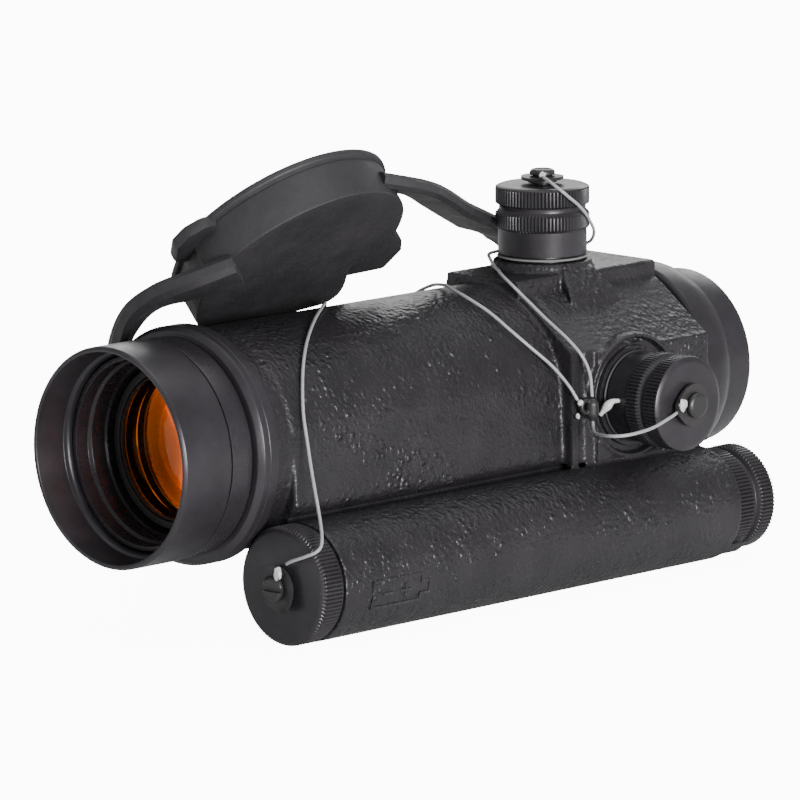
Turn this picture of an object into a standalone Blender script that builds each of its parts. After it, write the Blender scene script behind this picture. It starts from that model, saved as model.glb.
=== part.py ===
"""Tube red dot sight with a cell tube cast along its side, capped adjusters, cap lanyards and a rubber lens cover.

The optical axis runs along Y, the objective faces -Y, +Z is up, and the cell tube and the windage turret are on
the +X side. The origin is the middle of the mounting pad under the body. Sizes are in millimetres: x across,
s the distance behind the objective's rim, z the height above the optical axis.
"""

import math

import bmesh
import bpy
from mathutils import Matrix, Vector

MM = 0.001
GAP = 0.3  # clearance left between neighbouring pieces

# Driving sizes of the body
BODY_LENGTH = 120.5
AXIS_HEIGHT = 19.0  # optical axis above the mounting pad
TUBE_R = 16.0
CAST_R = 16.25  # rough cast skin, a little proud of the machined neck
SADDLE_R = 16.85  # the thicker part of the tube that carries the turrets
BORE_R = 13.5
NECK_S = 17.7
CAST_S = 21.0
BLOCK_S = 76.0
BLOCK_END_S = 105.2
FLANK_X = 16.5
FLANK_Z = -9.2

# Cell tube
CELL_X = 18.65
CELL_Z = -18.2
CELL_R = 8.65
CELL_BORE_R = 7.6
CELL_S = 20.4
CELL_END_S = 103.2

# Turrets, with heights measured outward from the optical axis
TURRET_S = 88.7
BOSS_H = 18.65
TURRET_BORE_R = 5.6
CAP_R = 7.05
CAP_CORE_R = 6.72
CAP_WAIST_R = 6.6
CAP_BASE_H = 19.55
CAP_TOP_H = 29.85
CAP_FLUTES = 30

# Optics
TILT_S = 33.0
INNER_R = 11.9
REAR_R = 11.2  # the inner tube is slimmer behind, where it swings furthest
LENS_S = 12.9
LENS_R = 10.6

# Cords and cover
CORD_D = 0.5
COVER_T = 1.5
STRAP_W = 7.2
STRAP_T = 2.2

ROUND = 40
SMALL = 24

PARTS = None
CUTTERS = None
MATERIALS = {}


# Scene and placement


def clear_scene():
    for obj in list(bpy.data.objects):
        bpy.data.objects.remove(obj, do_unlink=True)


def new_collection(name):
    collection = bpy.data.collections.new(name)
    bpy.context.scene.collection.children.link(collection)
    return collection


def point(x, s, z):
    """A place in the scene, in metres, from across, distance behind the rim and height above the axis."""
    return Vector((x, s - BODY_LENGTH / 2, z + AXIS_HEIGHT)) * MM


ALONG = Matrix.Rotation(math.radians(-90), 4, "X")
OPTICAL = Matrix.Translation(point(0, 0, 0)) @ ALONG
CELL = Matrix.Translation(point(CELL_X, 0, CELL_Z)) @ ALONG
ELEVATION = Matrix.Translation(point(0, TURRET_S, 0))
WINDAGE = ELEVATION @ Matrix.Rotation(math.radians(90), 4, "Y")


def finish_material(name, colour, roughness, metallic):
    material = bpy.data.materials.new(name)
    material.use_nodes = True
    shader = material.node_tree.nodes["Principled BSDF"]
    shader.inputs["Base Color"].default_value = (*colour, 1.0)
    shader.inputs["Roughness"].default_value = roughness
    shader.inputs["Metallic"].default_value = metallic
    material.diffuse_color = (*colour, 1.0)
    MATERIALS[name] = material


def make_materials():
    finish_material("cast_anodised", (0.022, 0.021, 0.024), 0.62, 0.35)
    finish_material("machined_anodised", (0.02, 0.019, 0.022), 0.42, 0.45)
    finish_material("blackened_brass", (0.035, 0.033, 0.034), 0.45, 0.6)
    finish_material("black_alloy", (0.035, 0.033, 0.034), 0.4, 0.6)
    finish_material("bright_steel", (0.55, 0.55, 0.56), 0.3, 1.0)
    finish_material("cover_rubber", (0.02, 0.019, 0.021), 0.75, 0.0)
    finish_material("pale_seal", (0.45, 0.45, 0.45), 0.55, 0.0)
    finish_material("amber_glass", (0.85, 0.42, 0.04), 0.05, 0.0)
    finish_material("clear_glass", (0.75, 0.8, 0.82), 0.05, 0.0)
    finish_material("board", (0.03, 0.16, 0.07), 0.6, 0.0)
    finish_material("black_nylon", (0.03, 0.03, 0.032), 0.5, 0.0)
    finish_material("nylon_line", (0.62, 0.62, 0.63), 0.45, 0.0)
    finish_material("cell_jacket", (0.16, 0.18, 0.2), 0.35, 0.3)
    finish_material("red_emitter", (0.6, 0.03, 0.02), 0.3, 0.0)


# Shape tools


def add_object(name, data, material, cutter=False):
    obj = bpy.data.objects.new(name, data)
    (CUTTERS if cutter else PARTS).objects.link(obj)
    if material:
        data.materials.append(MATERIALS[material])
    if cutter:
        obj.hide_render = True
        obj.display_type = "WIRE"
    return obj


def shoelace(outline):
    total = 0.0
    for (a, b), (c, d) in zip(outline, outline[1:] + outline[:1]):
        total += a * d - c * b
    return total / 2


def turned(name, profile, place, material=None, steps=ROUND, cutter=False):
    """A turned solid. The profile is a list of (radius, distance along the axis); one that starts and ends on
    the axis makes a solid piece, and any other is closed into a ring."""
    ring = profile[0][0] > 0
    if shoelace(profile) > 0:
        profile = profile[::-1]
    mesh = bpy.data.meshes.new(name)
    count = len(profile)
    edges = [(i, i + 1) for i in range(count - 1)]
    if ring:
        edges.append((count - 1, 0))
    mesh.from_pydata([(r * MM, 0, h * MM) for r, h in profile], edges, [])
    obj = add_object(name, mesh, material, cutter)
    screw = obj.modifiers.new("Turn", "SCREW")
    screw.steps = steps
    screw.render_steps = steps
    screw.use_merge_vertices = True
    screw.merge_threshold = 0.00002
    obj.matrix_world = place
    return obj


def disc(name, radius, start, end, place, material=None, steps=ROUND, cutter=False):
    return turned(name, [(0, start), (radius, start), (radius, end), (0, end)], place, material, steps, cutter)


def ring(name, inner, outer, start, end, place, material, steps=ROUND):
    profile = [(inner, start), (outer, start), (outer, end), (inner, end)]
    return turned(name, profile, place, material, steps)


def solid_mesh(bm, name):
    bmesh.ops.recalc_face_normals(bm, faces=bm.faces)
    mesh = bpy.data.meshes.new(name)
    bm.to_mesh(mesh)
    bm.free()
    return mesh


def prism(name, outline, start, end, place, material=None, cutter=False):
    """A flat outline in the place's XY plane, pulled along its Z from start to end."""
    bm = bmesh.new()
    low = [bm.verts.new(Vector((x, y, start)) * MM) for x, y in outline]
    high = [bm.verts.new(Vector((x, y, end)) * MM) for x, y in outline]
    bm.faces.new(low)
    bm.faces.new(high[::-1])
    for i in range(len(outline)):
        j = (i + 1) % len(outline)
        bm.faces.new((low[i], low[j], high[j], high[i]))
    obj = add_object(name, solid_mesh(bm, name), material, cutter)
    obj.matrix_world = place
    return obj


def section(name, outline, start, end, material=None, cutter=False):
    """A cross-section of the body, given as (x, z), pulled from one distance behind the rim to another."""
    flipped = [(x, -z) for x, z in outline]
    return prism(name, flipped, start, end, OPTICAL, material, cutter)


def rectangle(low, high):
    return [(low[0], low[1]), (high[0], low[1]), (high[0], high[1]), (low[0], high[1])]


def arc(radius, start, end, count):
    """Points on a circle round the axis, from one angle to another in degrees, both ends included."""
    angles = [math.radians(start + (end - start) * i / (count - 1)) for i in range(count)]
    return [(radius * math.cos(a), radius * math.sin(a)) for a in angles]


def fluted_outline(outer, root, flutes):
    outline = []
    for i in range(2 * flutes):
        radius = outer if i % 2 == 0 else root
        angle = math.pi * i / flutes
        outline.append((radius * math.cos(angle), radius * math.sin(angle)))
    return outline


def combine(obj, other, operation):
    boolean = obj.modifiers.new(operation.title(), "BOOLEAN")
    boolean.operation = operation
    boolean.solver = "EXACT"
    boolean.object = other


def join(obj, *others):
    for other in others:
        combine(obj, other, "UNION")


def cut(obj, *others):
    for other in others:
        combine(obj, other, "DIFFERENCE")


# Body


def body_outline():
    """The cast tube's cross-section: round above, straight flanks with a rounded lower corner, round below."""
    near = [
        (FLANK_X, -7.6),
        (FLANK_X - 0.2, -8.5),
        (FLANK_X - 0.9, FLANK_Z),
        (FLANK_X - 1.9, FLANK_Z - 0.4),
    ]
    far = [(-x, z) for x, z in reversed(near)]
    top = arc(CAST_R, 168, 12, 25)
    bottom = arc(CAST_R, -37, -143, 14)
    return top + near + bottom + far


def block_outline():
    """The turret block's cross-section: flat roof band, saddle, sloped shoulder and flat side plate."""
    roof_edge = math.degrees(math.acos(7.4 / SADDLE_R))
    shoulder = arc(SADDLE_R, roof_edge, 55, 3)
    far = arc(SADDLE_R, 205, 180 - roof_edge, 12)
    return far + shoulder + [(18.2, 7.6), (18.2, -9.0), (12.0, -9.0)]


def main_housing():
    tube = disc("main_housing", TUBE_R, NECK_S, BLOCK_END_S, OPTICAL, "cast_anodised")
    add = [
        section("skin", body_outline(), CAST_S, BLOCK_END_S - 0.5, cutter=True),
        section("block", block_outline(), BLOCK_S, BLOCK_END_S - 0.1, cutter=True),
        section("roof", roof_outline(), BLOCK_S - 0.5, BLOCK_END_S + 0.1, cutter=True),
        section("side_plate", rectangle((12, -9.0), (18.75, 7.5)), 81.0, BLOCK_END_S - 0.2, cutter=True),
        disc("cell_skin", CELL_R, CELL_S, CELL_END_S, CELL, cutter=True),
        section("web", web_outline(), CAST_S + 0.1, CELL_END_S - 0.6, cutter=True),
        section("pad", rectangle((-12.0, -AXIS_HEIGHT), (9.0, -10.0)), 39.0, 92.0, cutter=True),
        turned("pedestal", pedestal_profile(), ELEVATION, steps=SMALL * 2, cutter=True),
        index_lug(),
    ]
    join(tube, *add)
    recess = turned("recess", recess_profile(), WINDAGE, steps=ROUND, cutter=True)
    quarter_step = Matrix.Rotation(math.pi / 2 / SMALL, 4, "Z")
    bores = [
        disc("main_bore", BORE_R, NECK_S - 5, BLOCK_END_S + 5, OPTICAL, cutter=True),
        disc("cell_bore", CELL_BORE_R, CELL_S - 5, CELL_END_S + 5, CELL, cutter=True),
        disc("elevation_bore", TURRET_BORE_R, 8, 25, ELEVATION @ quarter_step, steps=SMALL, cutter=True),
        disc("windage_bore", TURRET_BORE_R, 8, 25, WINDAGE @ quarter_step, steps=SMALL, cutter=True),
        disc("anchor_bore", 1.1, 15.5, 25, anchor_place(), steps=12, cutter=True),
    ]
    cut(tube, recess, *bores, *pad_cuts())
    return tube


def roof_outline():
    return [(-8.0, 13.0), (-7.0, 17.3), (7.2, 17.3), (7.6, 16.9), (7.6, 13.0)]


def web_outline():
    """Metal that fills the corner between the tube, the cell tube and the pad."""
    return [(8.0, -12.0), (12.6, -9.2), (16.0, -10.1), (16.5, -14.0), (13.0, -21.6), (8.5, -18.2)]


def pedestal_profile():
    return [(0, 12.0), (9.8, 12.6), (8.3, 15.6), (7.6, 17.6), (7.3, BOSS_H), (0, BOSS_H)]


def recess_profile():
    """A round trough cut in the side plate, which leaves the windage boss standing in its middle."""
    return [(7.4, 17.8), (8.7, 17.8), (9.4, 19.4), (7.4, 19.4)]


def index_lug():
    """The pointer at the cell tube's rear end that the switch knob's marks are read against."""
    place = CELL @ Matrix.Rotation(math.radians(50), 4, "Z")
    return prism("lug", rectangle((8.1, -1.3), (8.62, 1.3)), CELL_END_S - 2, CELL_END_S + 3.4, place, cutter=True)


def pad_cuts():
    """Four blind screw holes and two cross slots in the underside of the pad."""
    down = Matrix.Translation(point(-1.5, 0, 0))
    holes = []
    for i, s in enumerate((44.0, 86.0)):
        for j, x in enumerate((-7.5, 7.5)):
            place = down @ Matrix.Translation(Vector((x, s, 0)) * MM)
            low = -AXIS_HEIGHT - 1
            holes.append(disc(f"pad_hole_{i}{j}", 1.45, low, low + 5.5, place, steps=16, cutter=True))
    slots = [
        section(f"pad_slot_{i}", rectangle((-20, -AXIS_HEIGHT - 1), (9.01, -AXIS_HEIGHT + 1.4)), s, s + 4, cutter=True)
        for i, s in enumerate((50.0, 76.0))
    ]
    return holes + slots


# Objective end


def objective_end():
    hood = [(14.4, 5.9), (14.4, 9.1), (15.9, 9.1), (16.0, 8.9), (TUBE_R, 0.4), (15.6, 0), (15.2, 0.3), (15.1, 5.9)]
    turned("front_hood", hood, OPTICAL, "machined_anodised")
    bell = [
        (14.1, 6.2),
        (14.1, 9.4),
        (15.85, 9.4),
        (15.85, 13.2),
        (13.2, 13.2),
        (13.2, 28.0),
        (12.6, 28.0),
        (12.6, 11.6),
        (12.9, 11.2),
        (12.9, 8.8),
        (13.4, 8.4),
        (13.4, 6.2),
    ]
    turned("objective_bell", bell, OPTICAL, "machined_anodised")
    collar = [(13.5, 13.5), (16.6, 13.5), (17.3, 14.3), (17.3, 17.1), (16.9, 17.4), (13.5, 17.4)]
    turned("neck_collar", collar, OPTICAL, "machined_anodised")


# Optics


def optics():
    tube = [
        (INNER_R, 12.2),
        (INNER_R, 60.0),
        (REAR_R, 62.0),
        (REAR_R, 92.0),
        (10.0, 92.0),
        (10.0, 15.6),
        (10.9, 15.6),
        (10.9, 12.2),
    ]
    turned("inner_tube", tube, OPTICAL, "black_alloy")
    lens = [(0, LENS_S - 0.55), (4, LENS_S - 0.45), (8, LENS_S - 0.1), (LENS_R, LENS_S + 0.3), (LENS_R, 15.3), (0, 15.3)]
    turned("objective_lens", lens, OPTICAL, "amber_glass")
    ring("lens_retaining_ring", 10.35, 10.62, 12.25, 12.85, OPTICAL, "machined_anodised", steps=ROUND)
    ring("gimbal_ring", INNER_R + GAP, BORE_R - GAP, TILT_S - 2, TILT_S + 2, OPTICAL, "black_alloy")
    place = OPTICAL @ Matrix.Rotation(math.radians(45), 4, "Z")
    holder = [(6.2, -2.0), (9.4, -1.6), (9.4, 1.6), (6.2, 2.0)]
    prism("led_holder", holder, 87.6, 91.4, place, "black_nylon")
    led = place @ Matrix.Translation(Vector((7.6, 0, 0)) * MM)
    turned("led_emitter", [(0, 85.2), (0.7, 85.6), (0.9, 86.2), (0.9, 87.3), (0, 87.3)], led, "red_emitter", steps=12)
    leaf = arc(BORE_R - GAP, 205, 245, 7) + arc(BORE_R - 2 * GAP, 245, 205, 7)
    section("return_spring", leaf, 80.0, 88.0, "bright_steel")


def eyepiece_end():
    eyepiece = [
        (13.1, 95.0),
        (13.1, 115.6),
        (13.4, 115.6),
        (13.4, 120.1),
        (13.1, BODY_LENGTH),
        (12.5, BODY_LENGTH),
        (12.1, 120.0),
        (12.1, 113.0),
        (11.2, 113.0),
        (11.2, 95.0),
    ]
    turned("eyepiece", eyepiece, OPTICAL, "machined_anodised")
    collar = [
        (13.4, 105.6),
        (14.5, 105.6),
        (14.5, 107.8),
        (15.2, 107.9),
        (15.7, 108.4),
        (15.7, 111.4),
        (15.35, 113.0),
        (14.7, 114.3),
        (13.9, 115.3),
        (13.4, 115.3),
    ]
    turned("rear_collar", collar, OPTICAL, "machined_anodised")
    window = [(0, 113.3), (11.8, 113.3), (11.8, 115.0), (6, 115.5), (0, 115.65)]
    turned("rear_window", window, OPTICAL, "clear_glass")
    ring("window_retaining_ring", 10.7, 11.8, 115.4, 116.8, OPTICAL, "machined_anodised")


# Turrets


def turret_cap(name, place):
    body = [
        (0, CAP_BASE_H),
        (6.67, CAP_BASE_H),
        (CAP_WAIST_R + 0.02, 23.3),
        (CAP_CORE_R, 23.31),
        (CAP_CORE_R, 25.6),
        (CAP_WAIST_R - 0.1, 26.2),
        (CAP_WAIST_R - 0.1, 26.85),
        (CAP_CORE_R, 26.9),
        (CAP_R - 0.1, 29.35),
        (CAP_R - 0.35, 29.7),
        (CAP_R - 0.85, CAP_TOP_H),
        (0, CAP_TOP_H),
    ]
    cap = turned(name, body, place, "machined_anodised")
    teeth = fluted_outline(CAP_R, CAP_CORE_R, CAP_FLUTES)
    lower = prism(f"{name}_lower_grip", teeth, 23.4, 25.6, place, cutter=True)
    upper = prism(f"{name}_upper_grip", teeth, 26.95, 29.2, place, cutter=True)
    join(cap, lower, upper)
    hollow = [(0, 18), (TURRET_BORE_R, 18), (TURRET_BORE_R, 28.4), (1.5, 28.4), (1.5, 31), (0, 31)]
    cut(cap, turned(f"{name}_hollow", hollow, place, steps=SMALL, cutter=True))
    return cap


def swivel_profile(face):
    """A washer with a short neck that stands on a cap's face; the lanyard is tied to its rim."""
    return [
        (1.5, face + GAP),
        (2.1, face + GAP),
        (2.1, face + 0.7),
        (3.0, face + 0.75),
        (3.2, face + 1.0),
        (3.0, face + 1.3),
        (1.5, face + 1.3),
    ]


def rivet_profile(face, under):
    """The headed pin that holds the swivel on the cap: its tail is spread inside the cap."""
    return [
        (0, under - 0.9),
        (2.0, under - 0.9),
        (2.0, under - GAP),
        (1.2, under - GAP),
        (1.2, face + 1.6),
        (1.9, face + 1.6),
        (1.9, face + 2.0),
        (1.6, face + 2.25),
        (0, face + 2.25),
    ]


def turret(prefix, place, slotted):
    base = [
        (5.3, 13.8),
        (5.3, 27.0),
        (3.3, 27.0),
        (3.3, 17.0),
        (2.3, 17.0),
        (2.3, 13.8),
    ]
    turned(f"{prefix}_turret_base", base, place, "blackened_brass", steps=SMALL)
    ring(f"{prefix}_cap_gasket", 5.7, 6.75, BOSS_H + GAP, CAP_BASE_H - GAP, place, "pale_seal")
    adjuster = [(0, 17.3), (2.9, 17.3), (2.9, 26.4), (2.6, 26.7), (0, 26.7)]
    screw = turned(f"{prefix}_adjuster", adjuster, place, "blackened_brass", steps=SMALL)
    slot = rectangle((-4, -0.4), (4, 0.4))
    cut(screw, prism(f"{prefix}_adjuster_slot", slot, 25.7, 28, place, cutter=True))
    disc(f"{prefix}_pusher", 2.0, REAR_R + GAP, 15.6, place, "bright_steel", steps=16)
    turret_cap(f"{prefix}_cap", place)
    turned(f"{prefix}_swivel", swivel_profile(CAP_TOP_H), place, "blackened_brass", steps=SMALL)
    rivet = turned(f"{prefix}_rivet", rivet_profile(CAP_TOP_H, 28.4), place, "blackened_brass", steps=16)
    if slotted:
        narrow = rectangle((-4, -0.3), (4, 0.3))
        top = CAP_TOP_H + 1.8
        turn = place @ Matrix.Rotation(math.radians(40), 4, "Z")
        cut(rivet, prism(f"{prefix}_rivet_slot", narrow, top, top + 2, turn, cutter=True))


# Cell tube contents


def cell_tube():
    front = 15.9
    back = CELL_S - GAP
    forward = CELL @ Matrix.Rotation(math.radians(180), 4, "X")
    body = [
        (0, front),
        (8.2, front),
        (8.35, front + 0.35),
        (8.35, back),
        (7.25, back),
        (7.25, 26.4),
        (0, 26.4),
    ]
    cap = turned("battery_cap", body, CELL, "machined_anodised")
    teeth = fluted_outline(CELL_R, 8.34, CAP_FLUTES)
    join(cap, prism("battery_cap_grip", teeth, front + 0.7, back - 0.15, CELL, cutter=True))
    hollow = [(0, 17.4), (6.1, 17.4), (6.1, 27), (0, 27)]
    cut(cap, turned("battery_cap_hollow", hollow, CELL, steps=SMALL, cutter=True))
    cut(cap, disc("battery_cap_bore", 1.5, 15, 18, CELL, steps=16, cutter=True))
    turned("battery_cap_swivel", swivel_profile(-front), forward, "blackened_brass", steps=SMALL)
    rivet = turned("battery_cap_rivet", rivet_profile(-front, -17.4), forward, "blackened_brass", steps=16)
    slot = prism("battery_rivet_slot", rectangle((-4, -0.3), (4, 0.3)), -14.1, -13, forward, cutter=True)
    cut(rivet, slot)
    cell = [(0, 28.4), (2.7, 28.4), (2.7, 29.8), (6.8, 29.8), (7.2, 30.2), (7.2, 78.4), (6.8, 78.8), (0, 78.8)]
    turned("battery_cell", cell, CELL, "cell_jacket", steps=SMALL)
    contact_spring()
    disc("rear_contact", 5.0, 79.1, 79.7, CELL, "bright_steel", steps=SMALL)
    disc("control_board", 7.2, 80.0, 81.6, CELL, "board", steps=SMALL)


def contact_spring():
    """The conical spring between the cap and the cell."""
    turns = 3
    per_turn = 14
    count = turns * per_turn
    points = []
    for i in range(count + 1):
        angle = 2 * math.pi * i / per_turn
        radius = 4.6 - 2.2 * i / count
        points.append(CELL @ (Vector((radius * math.cos(angle), radius * math.sin(angle), 18.4 + 9.4 * i / count)) * MM))
    cord("battery_spring", points, 0.55, "bright_steel")


def switch():
    front = CELL_END_S + GAP
    knob = [
        (0, 96.0),
        (2.4, 96.0),
        (2.4, front),
        (7.5, front),
        (7.5, 107.1),
        (7.0, 107.4),
        (7.0, 108.1),
        (7.5, 108.4),
        (7.55, 111.5),
        (7.1, 111.9),
        (0, 111.9),
    ]
    body = turned("switch_knob", knob, CELL, "machined_anodised")
    teeth = fluted_outline(7.85, 7.5, CAP_FLUTES)
    lower = prism("knob_front_grip", teeth, front + 0.1, 107.0, CELL, cutter=True)
    upper = prism("knob_rear_grip", teeth, 108.5, 111.4, CELL, cutter=True)
    join(body, lower, upper)
    ring("switch_bushing", 2.7, 7.3, 96.6, CELL_END_S - 0.2, CELL, "blackened_brass", steps=SMALL)
    disc("rotary_switch", 7.0, 82.2, 95.7, CELL, "black_nylon", steps=SMALL)


# Cords and cover


def cord(name, points, diameter, material):
    curve = bpy.data.curves.new(name, "CURVE")
    curve.dimensions = "3D"
    curve.bevel_depth = diameter / 2 * MM
    curve.bevel_resolution = 2 if diameter >= CORD_D else 1
    curve.use_fill_caps = True
    spline = curve.splines.new("POLY")
    spline.points.add(len(points) - 1)
    for item, place in zip(spline.points, points):
        item.co = (*place, 1.0)
    return add_object(name, curve, material)


def smooth(route, count):
    """Evenly spread points on a smooth curve through the route's points."""
    ends = [route[0] * 2 - route[1]] + route + [route[-1] * 2 - route[-2]]
    fine = []
    for a, b, c, d in zip(ends, ends[1:], ends[2:], ends[3:]):
        for step in range(24):
            t = step / 24
            fine.append(
                (b * 2 + (c - a) * t + (a * 2 - b * 5 + c * 4 - d) * t**2 + (b * 3 - a - c * 3 + d) * t**3) / 2
            )
    fine.append(route[-1])
    run = [0.0]
    for a, b in zip(fine, fine[1:]):
        run.append(run[-1] + (b - a).length)
    result = []
    j = 0
    for i in range(count):
        target = run[-1] * i / (count - 1)
        while j < len(run) - 2 and run[j + 1] < target:
            j += 1
        share = (target - run[j]) / (run[j + 1] - run[j])
        result.append(fine[j].lerp(fine[j + 1], min(share, 1.0)))
    return result


def lanyards():
    """Nylon lines that keep the three caps with the body. All three end at the eyelet on the side plate."""
    battery = [
        (20.9, 14.8, -14.4),
        (22.2, 14.5, -13.8),
        (24.6, 14.6, -12.9),
        (26.3, 15.2, -12.1),
        (26.4, 16.2, -11.4),
        (25.4, 17.4, -10.3),
        (23.7, 18.8, -8.7),
        (21.8, 20.1, -6.6),
        (19.1, 21.6, -2.2),
        (17.4, 22.4, 1.9),
        (16.2, 22.9, 5.4),
        (14.2, 24.7, 9.1),
        (11.9, 27.2, 12.0),
        (8.8, 31.0, 14.3),
        (4.6, 36.6, 16.1),
        (-1.0, 44.0, 16.8),
        (-7.6, 50.6, 15.0),
        (-13.5, 56.0, 10.3),
        (-17.1, 60.0, 4.0),
        (-18.0, 63.6, -1.2),
        (-17.6, 67.4, 3.0),
        (-14.6, 69.6, 8.8),
        (-10.0, 70.4, 13.5),
        (-5.0, 69.7, 16.0),
        (-0.2, 67.9, 16.9),
        (3.0, 66.8, 16.6),
        (6.3, 66.6, 15.7),
        (9.7, 67.5, 13.9),
        (12.4, 68.9, 11.5),
        (14.5, 71.0, 8.9),
        (16.4, 73.6, 6.0),
        (18.4, 75.0, 3.2),
        (19.4, 75.9, 1.0),
    ]
    elevation = [
        (2.6, 86.0, 31.5),
        (3.8, 85.5, 31.2),
        (5.4, 85.1, 30.8),
        (7.0, 85.6, 29.7),
        (7.5, 86.8, 28.6),
        (7.7, 88.4, 27.4),
        (7.5, 90.1, 26.0),
        (7.0, 91.5, 24.8),
        (5.6, 94.0, 22.6),
        (3.0, 95.8, 20.6),
        (-0.8, 96.5, 19.4),
        (-4.8, 95.0, 19.0),
        (-7.6, 91.5, 18.9),
        (-8.1, 87.4, 18.9),
        (-6.6, 84.0, 19.0),
        (-4.3, 81.9, 18.8),
        (-1.9, 80.3, 18.1),
        (1.4, 77.9, 18.0),
        (4.6, 75.4, 17.9),
        (7.2, 74.7, 16.9),
        (9.8, 75.2, 14.9),
        (12.9, 75.8, 12.5),
        (15.0, 76.2, 11.0),
        (17.0, 76.5, 9.6),
        (18.9, 77.3, 7.4),
        (19.5, 78.4, 4.6),
        (19.6, 78.8, 1.2),
    ]
    windage = [
        (30.8, 85.2, -0.6),
        (31.2, 83.9, -0.9),
        (32.0, 81.4, -1.2),
        (32.8, 78.4, -1.6),
        (33.5, 75.0, -1.8),
        (33.2, 71.6, -2.0),
        (31.1, 70.3, -2.2),
        (27.6, 71.8, -2.6),
        (23.6, 75.2, -3.3),
        (20.9, 77.7, -3.4),
        (19.8, 78.7, -2.6),
    ]
    for name, route, count in (
        ("battery_lanyard", battery, 80),
        ("elevation_lanyard", elevation, 52),
        ("windage_lanyard", windage, 22),
    ):
        cord(name, smooth([point(*p) for p in route], count), CORD_D, "nylon_line")


def anchor_place():
    """The eyelet's axis: straight out of the side plate, on its front strip."""
    return Matrix.Translation(point(0, 78.8, -0.7)) @ Matrix.Rotation(math.radians(90), 4, "Y")


def lanyard_eyelet():
    """A pin in the side plate with an upright barrel on its end and a small ring beside the barrel."""
    shank = [(0, 16.4), (0.8, 16.4), (0.8, 19.5), (0, 19.5)]
    eyelet = turned("lanyard_eyelet", shank, anchor_place(), "blackened_brass", steps=16)
    barrel = [(0, -1.3), (0.7, -1.3), (1.05, -0.8), (1.05, 0.9), (0.7, 1.4), (0, 1.4)]
    upright = Matrix.Translation(point(19.6, 78.8, -0.7))
    loop = Matrix.Translation(point(19.5, 77.6, -0.2)) @ Matrix.Rotation(math.radians(90), 4, "Y")
    bead = [(0.9 + 0.35 * math.cos(a), 0.35 * math.sin(a)) for a in [math.pi * i / 4 for i in range(8)]]
    join(
        eyelet,
        turned("eyelet_barrel", barrel, upright, steps=20, cutter=True),
        turned("eyelet_loop", bead, loop, steps=18, cutter=True),
    )


def cover_cup(name, radius, depth, place, material=None, cutter=False):
    """A rubber cup with a beaded lip; its closed face is at 0 and its mouth at depth."""
    profile = [
        (0, 0),
        (radius - 0.6, 0),
        (radius, 0.6),
        (radius, depth - 1.8),
        (radius + 0.55, depth - 1.4),
        (radius + 0.55, depth - 0.4),
        (radius + 0.1, depth),
        (radius - COVER_T, depth),
        (radius - COVER_T, COVER_T),
        (0, COVER_T),
    ]
    return turned(name, profile, place, material, cutter=cutter)


def across_at(stations, gaps, share):
    """The direction across a strap at a share of its length, between those given at its stations."""
    left = share * sum(gaps)
    k = 0
    while k < len(gaps) - 1 and left > gaps[k]:
        left -= gaps[k]
        k += 1
    return Vector(stations[k][1]).lerp(Vector(stations[k + 1][1]), min(1.0, left / gaps[k]))


def strap(name, stations, count):
    """A flat rubber strap through stations of (centre, direction across its width)."""
    centres = smooth([point(*c) for c, _ in stations], count)
    gaps = [math.dist(a, b) for (a, _), (b, _) in zip(stations, stations[1:])]
    bm = bmesh.new()
    loops = []
    for i, centre in enumerate(centres):
        ahead = centres[min(i + 1, count - 1)] - centres[max(i - 1, 0)]
        ahead.normalize()
        across = across_at(stations, gaps, i / (count - 1))
        side = across - ahead * across.dot(ahead)
        side.normalize()
        up = ahead.cross(side)
        corners = []
        for a, b in ((-0.5, -0.5), (0.5, -0.5), (0.5, 0.5), (-0.5, 0.5)):
            corners.append(bm.verts.new(centre + side * (a * STRAP_W * MM) + up * (b * STRAP_T * MM)))
        loops.append(corners)
    bm.faces.new(loops[0])
    bm.faces.new(loops[-1][::-1])
    for low, high in zip(loops, loops[1:]):
        for i in range(4):
            j = (i + 1) % 4
            bm.faces.new((low[i], high[i], high[j], low[j]))
    return add_object(name, solid_mesh(bm, name), None, cutter=True)


def frame_at(origin, ahead, across):
    """A place whose Z is ahead and whose X lies along across as nearly as it can."""
    z = Vector(ahead).normalized()
    x = Vector(across)
    x = (x - z * x.dot(z)).normalized()
    y = z.cross(x)
    turn = Matrix((x, y, z)).transposed().to_4x4()
    return Matrix.Translation(point(*origin)) @ turn


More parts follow.
